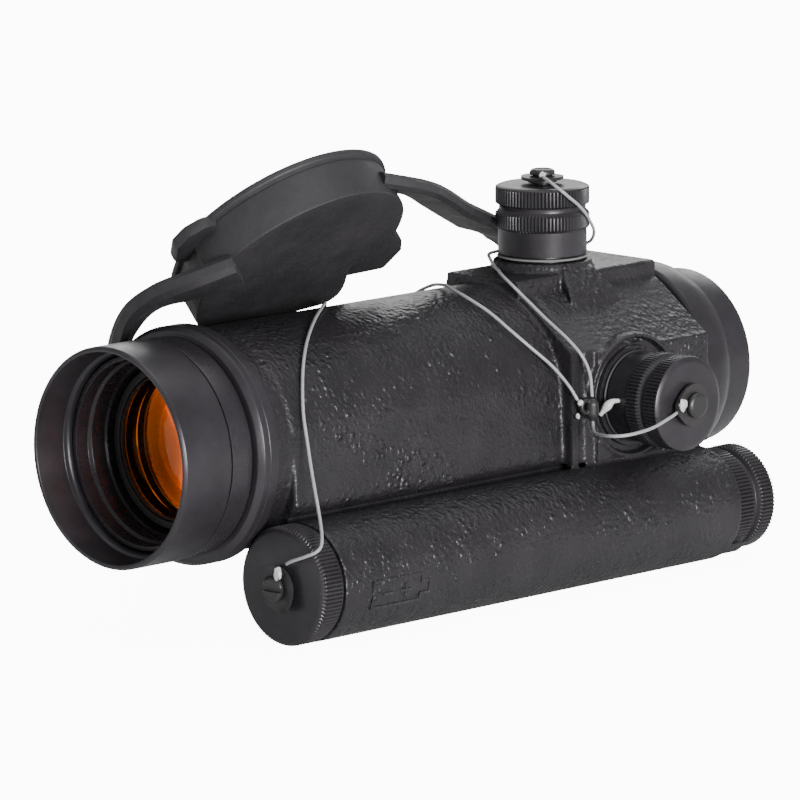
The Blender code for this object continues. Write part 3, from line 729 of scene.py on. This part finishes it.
def blob(name, centre, radii, seed):
    """A small lump of melted line."""
    coarse, fine = 0.4, 0.125
    all_smooth = 180
    bm = bmesh.new()
    bmesh.ops.create_icosphere(bm, subdivisions=4, radius=1)
    for v in bm.verts:
        lump = noise.noise(v.co * 1.4 + Vector((seed, 0, 0))) * coarse
        lump += noise.noise(v.co * 3.5 + Vector((0, seed, 0))) * fine
        v.co *= 1 + lump
        v.co = Vector((v.co.x * radii[0], v.co.y * radii[1], v.co.z * radii[2])) * MM
    return add_piece(name, bm, "knot", all_smooth, Matrix.Translation(centre))


def stand_for(obj, body, slot, *nodes):
    """obj moves with the body and is shown in place of the CAD nodes."""
    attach(obj, body)
    if nodes:
        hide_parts(*nodes)


# Cords

CORD_D = 0.5
CORD_STEP = 0.00045  # metres between the points of a line's path
BATTERY_ROUTE = [
    (20.9, 14.8, -14.4), (22.2, 14.5, -13.8), (24.6, 14.6, -12.9), (26.3, 15.2, -12.1),
    (26.4, 16.2, -11.4), (25.4, 17.4, -10.3), (23.7, 18.8, -8.7), (21.8, 20.1, -6.6),
    (19.1, 21.6, -2.2), (17.4, 22.4, 1.9), (16.2, 22.9, 5.4), (14.2, 24.7, 9.1), (11.9, 27.2, 12.0),
    (8.8, 31.0, 14.3), (4.6, 36.6, 16.1), (-1.0, 44.0, 16.8), (-7.6, 50.6, 15.0),
    (-13.5, 56.0, 10.3), (-17.1, 60.0, 4.0), (-18.0, 63.6, -1.2), (-17.6, 67.4, 3.0),
    (-14.6, 69.6, 8.8), (-10.0, 70.4, 13.5), (-5.0, 69.7, 16.0), (-0.2, 67.9, 16.9),
    (3.0, 66.8, 16.6), (6.3, 66.6, 15.7), (9.7, 67.5, 13.9), (12.4, 68.9, 11.5), (14.5, 71.0, 8.9),
    (16.4, 73.6, 6.0), (18.4, 75.0, 3.2), (19.4, 75.9, 1.0),
]
ELEVATION_ROUTE = [
    (2.6, 86.0, 31.5), (3.8, 85.5, 31.2), (5.4, 85.1, 30.8), (7.0, 85.6, 29.7), (7.5, 86.8, 28.6),
    (7.7, 88.4, 27.4), (7.5, 90.1, 26.0), (7.0, 91.5, 24.8), (5.6, 94.0, 22.6), (3.0, 95.8, 20.6),
    (-0.8, 96.5, 19.4), (-4.8, 95.0, 19.0), (-7.6, 91.5, 18.9), (-8.1, 87.4, 18.9),
    (-6.6, 84.0, 19.0), (-4.3, 81.9, 18.8), (-1.9, 80.3, 18.1), (1.4, 77.9, 18.0),
    (4.6, 75.4, 17.9), (7.2, 74.7, 16.9), (9.8, 75.2, 14.9), (12.9, 75.8, 12.5), (15.0, 76.2, 11.0),
    (17.0, 76.5, 9.6), (18.9, 77.3, 7.4), (19.5, 78.4, 4.6), (19.6, 78.8, 1.2),
]
WINDAGE_ROUTE = [
    (30.8, 85.2, -0.6), (31.2, 83.9, -0.9), (32.0, 81.4, -1.2), (32.8, 78.4, -1.6),
    (33.5, 75.0, -1.8), (33.2, 71.6, -2.0), (31.1, 70.3, -2.2), (27.6, 71.8, -2.6),
    (23.6, 75.2, -3.3), (20.9, 77.7, -3.4), (19.8, 78.7, -2.6),
]


def make_lanyard(prefix, route):
    points = smooth_path([point(*p) for p in route], CORD_STEP)
    name = f"{prefix}_line"
    obj = swept(name, follow(points), [round_outline(CORD_D / 2)] * len(points), "nylon_line")
    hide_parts(f"{prefix}_lanyard")
    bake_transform(obj)


# Housing


def body_outline():
    """The jacket round the optical tube: round above, with a flat flank and a corner at each side below."""
    skin_r = 16.25
    flank, corner = 16.5, -9.2
    near = [(flank, -7.6), (flank - 0.2, -8.5), (flank - 0.9, corner), (flank - 1.9, corner - 0.4)]
    far = [(-x, z) for x, z in reversed(near)]
    return arc(skin_r, 168, 12, 60) + near + arc(skin_r, -37, -143, 40) + far


def block_outline(inset=0.0):
    """The turret block: a rounded shoulder on top and a flat side towards the windage turret."""
    radius = 16.85 - inset
    side = 18.2 - inset
    roof_edge = math.degrees(math.acos(7.4 / radius))
    shoulder = arc(radius, roof_edge, 55, 8)
    far = arc(radius, 205, 180 - roof_edge, 40)
    return far + shoulder + [(side, 7.6), (side, -9.0), (12.0, -9.0)]


def flare():
    """The fan-shaped fillet that runs from the elevation pedestal down over the roof's near edge."""
    corners = [
        (5.6, 3.0, 18.4), (7.7, 3.4, 17.7), (10.6, 5.0, 14.2), (11.2, 5.2, 12.0), (5.6, 3.0, 12.0),
    ]
    bm = bmesh.new()
    for x, y, z in corners:
        for side in (-1, 1):
            bm.verts.new(Vector((x, side * y, z)) * MM)
    bmesh.ops.convex_hull(bm, input=list(bm.verts))
    bmesh.ops.recalc_face_normals(bm, faces=bm.faces)
    return add_piece("flare", bm, place=ELEVATION)


def casting_solids():
    cell_start, cell_end = 20.4, 103.2
    index_place = CELL @ Matrix.Rotation(math.radians(50), 4, "Z")
    roof = [(-8.0, 13.0), (-7.0, 17.3), (7.2, 17.3), (7.6, 16.9), (7.6, 13.0)]
    web = [(8.0, -12.0), (12.6, -9.2), (16.0, -10.1), (16.5, -14.0), (13.0, -21.6), (8.5, -18.2)]
    pedestal = [(0, 12.0), (9.8, 12.6), (8.3, 15.6), (7.6, 17.6), (7.3, 18.65), (0, 18.65)]
    lip = [(8.6, 17.4), (9.5, 17.4), (9.3, 19.0), (8.9, 19.05), (8.6, 18.9)]
    lug = rectangle((8.1, -1.3), (8.62, 1.3))
    return [
        disc("tube", 16.0, 17.7, 105.2, OPTICAL, 160),
        section("skin", body_outline(), 21.0, 104.7, 0.5),
        section("block", block_outline(0.35), 76.9, 105.1),
        section("block_lip", block_outline(), 76.0, 77.5),
        section("block_back", block_outline(0.1), 79.0, 105.1),
        section("roof", roof, 75.5, 105.3, 0.15),
        section("side_plate", rectangle((12, -9.0), (18.75, 7.5)), 81.0, 105.0, 0.15),
        disc("cell_skin", CELL_R, cell_start, cell_end, CELL, 128),
        section("web", web, 21.2, 102.6),
        section("pad", rectangle((-12.0, PAD_Z), (9.0, -10.0)), 39.0, 92.0, 0.5),
        turned("pedestal", pedestal, None, ELEVATION, 160, 0.3),
        flare(),
        turned("boss_lip", lip, None, WINDAGE, 160, 0.1),
        prism("lug", lug, cell_end - 2, cell_end + 3.4, index_place, 0.1),
    ]


def casting_cutters():
    """The bores, the recess round the windage turret, and the pad's blind holes and cross slots."""
    recess = [(7.4, 18.0), (8.4, 18.0), (8.9, 19.4), (7.4, 19.4)]
    cutters = [
        turned("recess", recess, None, WINDAGE, 160, 0.2),
        disc("main_bore", 13.5, 10, 112, OPTICAL, 160),
        disc("cell_bore", 7.6, 15, 110, CELL, 128),
        disc("elevation_bore", 5.6, 8, 25, ELEVATION),
        disc("windage_bore", 5.6, 8, 25, WINDAGE),
    ]
    for s in (44.0, 86.0):
        for x in (-9.0, 6.0):
            place = Matrix.Translation(point(x, s, 0))
            cutters.append(disc("pad_hole", 1.45, PAD_Z - 1, PAD_Z + 4.5, place, 48))
    for s in (50.0, 76.0):
        slot = rectangle((-20, PAD_Z - 1), (9.5, PAD_Z + 1.4))
        cutters.append(section("pad_slot", slot, s, s + 4))
    return cutters


def make_housing():
    housing = merged("housing_casting", casting_solids())
    fused(housing, 0.26, 2)
    cut(housing, casting_cutters())
    fewer_faces(housing, 190000)
    housing.data.materials.clear()
    housing.data.materials.append(FINISH["cast_anodised"])
    shade(housing.data, 40)
    stand_for(housing, "housing", "cast_anodised", "main_housing")


def raised_strip(start, end, low, high):
    """A thin strip on the cell tube, between two distances behind the rim and two angles in degrees."""
    inner, outer = CELL_R - 0.2, CELL_R + 0.14
    count = 8
    ends = arc(outer, low, high, count) + arc(inner, high, low, count)
    return prism("strip", [(x, -z) for x, z in ends], start, end, CELL, 0.04)


def make_polarity_mark():
    """The raised cell outline with its plus and minus, on the cell tube's side."""
    line = 0.34
    wide = 2.6
    can_start, can_end, nub_end = 25.6, 35.6, 37.2
    can_low, can_high = -25.0, 3.5
    nub_low, nub_high = -18.5, -4.0
    strips = [
        raised_strip(can_start, can_end, can_high - wide, can_high),
        raised_strip(can_start, can_end, can_low, can_low + wide),
        raised_strip(can_start, can_start + line, can_low, can_high),
        raised_strip(can_end - line, can_end, can_low, nub_low + wide),
        raised_strip(can_end - line, can_end, nub_high - wide, can_high),
        raised_strip(can_end, nub_end, nub_high - wide, nub_high),
        raised_strip(can_end, nub_end, nub_low, nub_low + wide),
        raised_strip(nub_end - line, nub_end, nub_low, nub_high),
        raised_strip(27.7, 29.7, -12.0, -9.4),
        raised_strip(31.2, 33.4, -12.0, -9.4),
        raised_strip(32.1, 32.5, -17.6, -3.8),
    ]
    mark = merged("polarity_mark", strips, "cast_anodised")
    stand_for(mark, "housing", "cast_anodised")


# Objective end


def make_ring(name, profile, finish, edge, node, body="housing"):
    """A turned ring or tube round the optical axis, in place of one CAD node."""
    ring = turned(name, profile, finish, OPTICAL, 192, edge)
    stand_for(ring, body, "machined_anodised", node)


def make_objective_end():
    hood = [
        (14.4, 5.9), (14.4, 9.1), (15.9, 9.1), (16.0, 8.9), (HOOD_R, 0.5), (HOOD_R - 0.35, 0),
        (15.2, 0.15), (15.1, 5.3), (14.6, 5.5),
    ]
    make_ring("hood", hood, "machined_y", 0.15, "front_hood")
    bell = [
        (14.1, 6.2), (14.1, 9.4), (15.85, 9.4), (15.85, 13.2), (13.2, 13.2), (13.2, 28.0),
        (12.6, 28.0), (12.6, 11.6), (12.9, 11.2), (12.9, 8.8), (13.4, 8.4), (13.4, 6.2),
    ]
    make_ring("bell", bell, "machined_inner", 0.12, "objective_bell")
    collar = [
        (13.5, 13.5), (16.6, 13.5), (17.3, 14.3), (17.3, 15.3, 0.03), (17.22, 15.4, 0.03),
        (17.3, 15.5, 0.03), (17.3, 17.1), (16.9, 17.4), (13.5, 17.4),
    ]
    make_ring("collar", collar, "machined_y", 0.12, "neck_collar")


def make_optics():
    tube = [
        (11.9, 12.2), (11.9, 60.0), (11.2, 62.0), (11.2, 92.0), (10.5, 92.0), (10.5, LENS_BACK),
        (10.9, LENS_BACK), (10.9, 12.2),
    ]
    tube = turned("optical_tube", tube, "black_alloy", OPTICAL, 192, 0.1)
    # The bore's inner face gets the finish with the painted glow. The outside keeps the black alloy.
    tube.data.materials.append(FINISH["bore_glow_painted"])
    bore_wall = 10.55 * MM
    for face in tube.data.polygons:
        out = Vector((face.center.x, face.center.z - AXIS_Z)).length
        face.material_index = 1 if out < bore_wall else 0
    stand_for(tube, "optical_unit", "black_alloy", "inner_tube")
    lens = [(0, 12.35), (4, 12.45), (8, 12.8), (10.6, 13.2), (10.6, 15.3), (0, 15.3)]
    lens = turned("coated_lens", lens, "amber_glass", OPTICAL, 192, 0.1)
    stand_for(lens, "optical_unit", "amber_glass", "objective_lens")
    ring = [(10.35, 12.25), (10.62, 12.25), (10.62, 12.85), (10.35, 12.85)]
    make_ring("lens_ring", ring, "machined_inner", 0.06, "lens_retaining_ring", "optical_unit")


def make_eyepiece_end():
    barrel = [
        (13.1, 95.0), (13.1, 115.6), (13.4, 115.6), (13.4, 120.1), (13.1, LENGTH), (12.5, LENGTH),
        (12.1, 120.0), (12.1, 113.0), (11.2, 113.0), (11.2, 95.0),
    ]
    make_ring("eyepiece_barrel", barrel, "machined_y", 0.14, "eyepiece")
    collar = [
        (13.4, 105.6), (14.5, 105.6), (14.5, 107.8), (15.2, 107.9), (15.7, 108.4),
        (15.7, 111.4, 0.8), (15.35, 113.0, 0.6), (14.7, 114.3, 0.6), (13.9, 115.3), (13.4, 115.3),
    ]
    make_ring("eyepiece_collar", collar, "machined_y", 0.15, "rear_collar")
    window = [(0, 113.3), (11.8, 113.3), (11.8, 115.0), (6, 115.5), (0, 115.65)]
    window = turned("rear_glass", window, "clear_glass", OPTICAL, 160, 0.1)
    stand_for(window, "housing", "clear_glass", "rear_window")
    ring = [(10.7, 115.4), (11.8, 115.4), (11.8, 116.8), (11.4, 116.8), (10.7, 116.1)]
    ring = turned("window_ring", ring, "machined_inner", OPTICAL, 160, 0.08)
    stand_for(ring, "housing", "machined_anodised", "window_retaining_ring")


# Turrets

SEAL_FINISH = {"elevation": "pale_seal", "windage": "black_nylon"}


def make_cap(prefix, place, finish):
    """A knurled screw cap and the seal under it."""
    body = [
        (5.6, CAP_BASE), (6.67, CAP_BASE), (6.64, 23.25), (6.95, 23.45), (CAP_R, 23.6),
        (CAP_R, 25.55), (6.62, 26.0), (6.5, 26.2), (6.5, 26.8), (6.75, 26.95), (CAP_R, 27.1),
        (CAP_R, 29.25), (CAP_R - 0.06, 29.55, 0.25), (6.3, CAP_TOP, 0.3), (5.8, CAP_TOP, 0),
        (1.9, CAP_TOP, 0), (1.55, CAP_TOP), (1.5, 28.4), (5.6, 28.4),
    ]
    bands = [(23.4, 25.8, 6.7), (27.0, 29.35, 6.72)]
    cap = turned(f"{prefix}_cap_shell", body, finish, place, edge=0.1, flutes=(80, 0.26, bands))
    stand_for(cap, f"{prefix}_cap_shell", "machined_anodised", f"{prefix}_cap")
    seal = [(5.7, 18.95), (6.7, 18.95), (6.85, 19.1), (6.7, 19.25), (5.7, 19.25)]
    seal = turned(f"{prefix}_seal", seal, SEAL_FINISH[prefix], place, 128, 0.05)
    stand_for(seal, "housing", "pale_seal", f"{prefix}_cap_gasket")


def make_base(prefix, place):
    """The threaded spigot that a cap screws onto."""
    crest, root, pitch, foot = 5.3, 4.95, 0.5, 19.4
    base = [(3.3, 27.0), (4.9, 27.0), (5.2, 26.6)]
    h = 26.4
    while h > foot:
        base += [(crest, h, 0.05), (root, h - pitch / 2, 0.05)]
        h -= pitch
    base += [(crest, h), (crest, 13.8), (2.3, 13.8), (2.3, 17.0), (3.3, 17.0)]
    base = turned(f"{prefix}_spigot", base, "brass_y", place, 96, 0.05)
    stand_for(base, "housing", "blackened_brass", f"{prefix}_turret_base")


def washer_sheet(bm, height, lobe, curl, steps, rings):
    """Rings of points across one side of a washer: a disc with a lobe on one side that curls up."""
    ring_in, ring_out, lobe_out = 1.5, 3.2, 0.75
    lobe_width = 0.42
    sheet = []
    for i in range(rings + 1):
        row = []
        share = i / rings
        for step in range(steps):
            angle = 2 * math.pi * step / steps
            away = (angle - lobe + math.pi) % (2 * math.pi) - math.pi
            bulge = math.exp(-((away / lobe_width) ** 2))
            radius = ring_in + (ring_out + lobe_out * bulge - ring_in) * share
            lift = curl * bulge * max(0.0, share - 0.35) ** 2
            wave = 0.05 * math.sin(2 * angle + 0.8) * share
            place = (radius * math.cos(angle), radius * math.sin(angle), height + lift + wave)
            row.append(bm.verts.new(Vector(place) * MM))
        sheet.append(row)
    return sheet


def washer(name, place, face, lobe, curl):
    """A swivel washer on a short neck, which stands on the cap's face."""
    steps, rings = 96, 10
    bm = bmesh.new()
    tops = washer_sheet(bm, face + 1.15, lobe, curl, steps, rings)
    bottoms = washer_sheet(bm, face + 0.7, lobe, curl, steps, rings)
    pairs = list(zip(tops, tops[1:])) + list(zip(bottoms[1:], bottoms))
    for row_a, row_b in pairs + [(tops[-1], bottoms[-1]), (bottoms[0], tops[0])]:
        for i in range(steps):
            j = (i + 1) % steps
            bm.faces.new((row_a[i], row_b[i], row_b[j], row_a[j]))
    bmesh.ops.recalc_face_normals(bm, faces=bm.faces)
    plate = add_piece("plate", bm, place=place)
    neck = [(1.5, face + 0.25), (2.2, face + 0.25), (2.2, face + 0.85), (1.5, face + 0.85)]
    return merged(name, [plate, turned("neck", neck, None, place)], "brass_y")


def rivet(name, place, face, under, slot_turn):
    """The rivet that holds a washer, with a screwdriver slot in its head when slot_turn is an angle."""
    profile = [
        (0, under - 0.9), (2.0, under - 0.9), (2.0, under - 0.3), (1.2, under - 0.3),
        (1.2, face + 1.4), (1.9, face + 1.4), (1.95, face + 1.9, 0.2), (1.5, face + 2.25, 0.3),
        (0, face + 2.25),
    ]
    head = turned(name, profile, "brass_y", place, 96, 0.08)
    if slot_turn is not None:
        turn = place @ Matrix.Rotation(slot_turn, 4, "Z")
        cut(head, [prism("slot", rectangle((-4, -0.38), (4, 0.38)), face + 1.7, face + 4, turn)])
        shade(head.data)
    return head


def make_swivel(prefix, node, place, face, under, lobe, curl, slot_turn):
    """The washer that a line is tied to, free to turn under its rivet's head."""
    pivot = f"{prefix}_cap_pivot"
    plate = washer(f"{prefix}_washer", place, face, lobe, curl)
    stand_for(plate, pivot, "blackened_brass", f"{node}_swivel")
    head = rivet(f"{prefix}_rivet_head", place, face, under, slot_turn)
    stand_for(head, pivot, "blackened_brass", f"{node}_rivet")


def make_turrets():
    under = 28.4
    make_cap("elevation", ELEVATION, "machined_z")
    make_cap("windage", WINDAGE, "machined_x")
    make_base("elevation", ELEVATION)
    make_base("windage", WINDAGE)
    make_swivel("elevation", "elevation", ELEVATION, CAP_TOP, under, -0.75, 0.8, math.radians(40))
    make_swivel("windage", "windage", WINDAGE, CAP_TOP, under, -1.55, 0.5, None)


# Cell tube


def make_cell_cap():
    front, under, back = 15.9, 17.4, 20.1
    body = [
        (1.4, under), (1.4, front), (1.8, front, 0), (7.5, front, 0), (7.9, front, 0.2),
        (8.15, front + 0.2), (8.6, front + 0.65), (8.6, back - 0.45), (8.35, back - 0.3),
        (8.35, back), (7.25, back), (7.25, CELL_S), (6.1, CELL_S), (6.1, under),
    ]
    bands = [(front + 0.55, back - 0.4, 8.4)]
    cap = turned("cell_cap", body, "machined_y", CELL, edge=0.1, flutes=(92, 0.24, bands))
    stand_for(cap, "battery_cap_shell", "machined_anodised", "battery_cap")
    make_swivel("battery", "battery_cap", CELL_FORWARD, -front, -under, math.radians(-50), 1.6, 0.0)


def make_knob():
    knob = [
        (0, 96.0), (2.4, 96.0), (2.4, 103.5), (7.5, 103.5), (7.85, 103.8), (7.85, 106.9),
        (7.5, 107.1), (7.0, 107.4), (7.0, 108.1), (7.5, 108.4), (7.85, 108.7), (7.85, 111.3),
        (7.1, 111.9), (0, 111.9),
    ]
    bands = [(103.6, 107.0, 7.6), (108.5, 111.5, 7.6)]
    knob = turned("brightness_knob", knob, "machined_y", CELL, edge=0.1, flutes=(84, 0.26, bands))
    stand_for(knob, "switch_knob", "machined_anodised", "switch_knob")


# Eyelet


def make_eyelet():
    """The pin, upright barrel and small ring that the three lines are tied to."""
    quarter = Matrix.Rotation(math.radians(90), 4, "Y")
    across = Matrix.Translation(point(0, 78.8, -0.7)) @ quarter
    upright = Matrix.Translation(point(19.6, 78.8, -0.7))
    loop_place = Matrix.Translation(point(19.5, 77.6, -0.2)) @ quarter
    shank = [(0, 16.4), (0.8, 16.4), (0.8, 19.5), (0, 19.5)]
    barrel = [(0, -1.6), (0.55, -1.6), (1.0, -0.9), (1.05, 0.9), (0.6, 1.65), (0, 1.65)]
    loop_r, wire_r, wire_steps = 0.9, 0.35, 16
    turns = [2 * math.pi * i / wire_steps for i in range(wire_steps)]
    loop = [(loop_r + wire_r * math.cos(a), wire_r * math.sin(a)) for a in turns]
    parts = [
        turned("shank", shank, None, across, 64, 0.1),
        turned("barrel", barrel, None, upright, 64, 0.3),
        turned("loop", loop, None, loop_place, 64, 0.0),
    ]
    eyelet = merged("eyelet", parts)
    fused(eyelet, 0.07, 3)
    eyelet.data.materials.append(FINISH["brass_y"])
    eyelet.data.shade_smooth()
    stand_for(eyelet, "housing", "blackened_brass", "lanyard_eyelet")


def tail_radius(share):
    """The radius along the tail knot: a knot a third of the way along and a melted end."""
    knot = 0.38 * math.exp(-(((share - 0.33) / 0.17) ** 2))
    return 0.3 + knot + 0.2 * share**6


def make_knots():
    knots = [
        ("elevation_knot", "elevation_cap_pivot", (2.6, 86.0, 31.7), (0.5, 0.5, 0.4), 1),
        ("windage_knot", "windage_cap_pivot", (31.5, 85.6, 0.5), (0.45, 0.75, 0.95), 2),
        ("battery_knot", "battery_cap_pivot", (20.0, 13.9, -15.8), (0.7, 0.4, 0.95), 3),
        ("line_hitch", "housing", (19.4, 76.5, 0.5), (0.34, 0.5, 0.45), 5),
        ("stray_end", "housing", (19.2, 76.2, -1.5), (0.26, 0.34, 0.4), 7),
    ]
    for name, body, place, size, seed in knots:
        stand_for(blob(name, point(*place), size, seed), body, "nylon_line")


def make_tail():
    """The knotted end of a line that stands out from the eyelet."""
    route = [
        (20.2, 79.9, -1.7), (20.8, 80.5, -0.6), (21.4, 81.2, 0.3), (22.0, 82.5, 0.4), (22.6, 83.6, 0.7),
    ]
    path = smooth_path([point(*p) for p in route], 0.0001)
    last = len(path) - 1
    outlines = [round_outline(tail_radius(i / last)) for i in range(last + 1)]
    stand_for(swept("tail_knot", follow(path), outlines, "knot"), "housing", "nylon_line")


# Lens cover

FRONT_TAB = [(14.0, -3.2), (18.2, -2.6), (20.8, -1.0), (22.8, 1.8), (22.5, 6.6), (14.5, 7.0)]
LIFT_TAB = [(-14.0, -5.6), (-18.6, -5.2), (-20.6, -3.2), (-20.8, -0.2), (-18.6, 3.6), (-14.0, 4.4)]


def frame_at(origin, ahead, across):
    """The place of a cup: its closed face at the origin, opening ahead."""
    z = Vector(ahead).normalized()
    x = Vector(across)
    x = (x - z * x.dot(z)).normalized()
    turn = Matrix((x, z.cross(x), z)).transposed().to_4x4()
    return Matrix.Translation(point(*origin)) @ turn


def cup(name, radius, depth, place):
    """A round cup with a rolled lip round its open end."""
    wall = 1.5
    profile = [
        (0, 0), (radius - 2.0, 0, 0), (radius, 0.1, 0.35), (radius, depth - 1.7, 0.1),
        (radius - 0.15, depth - 1.4, 0.1), (radius + 0.5, depth - 1.05, 0.25),
        (radius + 0.5, depth - 0.25, 0.3), (radius + 0.1, depth, 0.2), (radius - wall, depth, 0.3),
        (radius - wall, wall, 0.8), (0, wall),
    ]
    return turned(name, profile, None, place, 192, 0.2)


def across_at(stations, gaps, share):
    """The direction across a strap at a share of its length, between those given at its stations."""
    left = share * sum(gaps)
    k = 0
    while k < len(gaps) - 1 and left > gaps[k]:
        left -= gaps[k]
        k += 1
    return Vector(stations[k][1]).lerp(Vector(stations[k + 1][1]), min(1.0, left / gaps[k]))


def strap_outline(width, thick):
    """A flat strip's cross-section with its four corners taken off."""
    w, t = width / 2, thick / 2
    e = thick * 0.28
    below = [(-w + e, -t), (w - e, -t), (w, -t + e)]
    return below + [(w, t - e), (w - e, t), (-w + e, t), (-w, t - e), (-w, -t + e)]


def strap(name, stations, width, thick):
    """A strip through the stations, each a centre and the direction across the strip there."""
    centres = smooth_path([point(*c) for c, _ in stations], 0.0006)
    gaps = [math.dist(a, b) for (a, _), (b, _) in zip(stations, stations[1:])]
    frames = []
    for i, centre in enumerate(centres):
        ahead = heading(centres, i)
        side = across_at(stations, gaps, i / (len(centres) - 1))
        side = (side - ahead * side.dot(ahead)).normalized()
        frames.append((centre, side, ahead.cross(side)))
    return swept(name, frames, [strap_outline(width, thick)] * len(frames), None)


def swell(angle, amount, middle_angle, spread):
    """A smooth swelling of this amount round one angle of a cup, in degrees."""
    return amount * math.exp(-(((angle - middle_angle) / spread) ** 2))


def slumped(cup_piece, place, depth):
    """The cup pressed out of round: its closed end where it leans on the tube, its far side all along."""
    back = place.inverted()
    for v in cup_piece.data.vertices:
        local = back @ v.co
        angle = math.degrees(math.atan2(local.y, local.x))
        to_closed_end = max(0.0, 1 - local.z / (depth * MM))
        leaning = swell(angle, -0.18, 16, 13) + swell(angle, 0.21, 38, 12)
        scale = 1 + leaning * to_closed_end + swell(angle, -0.07, 155, 22)
        v.co = place @ Vector((local.x * scale, local.y * scale, local.z))
    return cup_piece


def make_lens_cover():
    front_place = frame_at((1.5, 36.5, 23.9), (-0.66, -0.01, 0.75), (0, 1, 0))
    rear_place = frame_at((-21.0, 52.0, -5.0), (-1, 0, 0.12), (0, 1, 0))
    front_strap = [
        ((4.6, 21.4, 25.2), (-0.5, 0.75, -0.43)),
        ((1.0, 18.0, 23.4), (-0.37, 0.87, -0.33)),
        ((-4.0, 16.3, 21.5), (-0.12, 0.99, -0.12)),
        ((-9.3, 16.2, 19.1), (-0.03, 0.97, 0.23)),
        ((-14.1, 17.4, 15.5), (-0.17, 0.84, 0.52)),
        ((-18.0, 19.2, 11.3), (-0.53, 0.64, 0.55)),
        ((-19.6, 21.4, 5.6), (-0.6, 0.7, 0.3)),
        ((-21.2, 25.0, 0.2), (-0.4, 0.6, 0.6)),
        ((-23.0, 30.4, -3.8), (-0.1, 0.3, 0.9)),
        ((-24.8, 36.0, -5.6), (0.1, 0.0, 1.0)),
        ((-25.6, 40.4, -6.0), (0.1, 0.0, 1.0)),
    ]
    rear_strap = [
        ((9.0, 43.5, 36.2), (0.99, -0.07, 0.08)),
        ((9.6, 50.2, 34.6), (0.98, 0.17, 0.04)),
        ((6.8, 57.2, 32.7), (0.9, 0.42, -0.13)),
        ((-0.4, 69.1, 28.6), (0.88, 0.45, -0.15)),
        ((-10.9, 85.9, 23.3), (0.89, 0.46, -0.04)),
        ((-17.4, 98.6, 18.7), (0.91, 0.3, -0.3)),
        ((-18.2, 101.0, 13.4), (0.4, -0.6, -0.6)),
        ((-22.2, 96.0, 6.8), (-0.1, -0.6, -0.8)),
        ((-25.2, 87.6, 1.0), (-0.1, -0.2, -1.0)),
        ((-26.2, 77.0, -3.6), (-0.1, -0.1, -1.0)),
        ((-25.8, 64.8, -5.2), (-0.1, 0.0, -1.0)),
    ]
    depth = 7.6
    shells = [
        slumped(cup("front_cup", 17.4, depth, front_place), front_place, depth),
        cup("rear_cup", 14.8, 8.0, rear_place),
        prism("front_tab", FRONT_TAB, 0.3, 2.5, front_place, 0.5),
        prism("lift_tab", LIFT_TAB, 5.4, 7.4, front_place, 0.6),
        prism("rear_tab", rectangle((-3.5, 14.0), (3.5, 18.5)), 0.4, 2.6, rear_place, 0.5),
        strap("front_strap", front_strap, 7.4, 2.9),
        strap("rear_strap", rear_strap, 7.2, 2.2),
    ]
    cover = merged("cover_moulding", shells, "cover_rubber")
    stand_for(cover, "housing", "cover_rubber", "lens_cover")


def repaint_nodes():
    """Gives each CAD node the finish of its slot, so the inner parts keep their CAD shapes."""
    finish_of = {
        "machined_anodised": "machined_y",
        "blackened_brass": "brass_y",
    }
    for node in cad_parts.values():
        for item in node.material_slots:
            slot = item.material.name.split(".")[0]
            item.material = FINISH[finish_of.get(slot, slot)]


make_camera()
FINISH.update(make_finishes())
repaint_nodes()
make_lanyard("battery", BATTERY_ROUTE)
make_lanyard("elevation", ELEVATION_ROUTE)
make_lanyard("windage", WINDAGE_ROUTE)
make_backdrop()
make_lights()
make_floor()
make_housing()
make_polarity_mark()
make_objective_end()
make_optics()
make_eyepiece_end()
make_turrets()
make_cell_cap()
make_knob()
make_eyelet()
make_knots()
make_tail()
make_lens_cover()
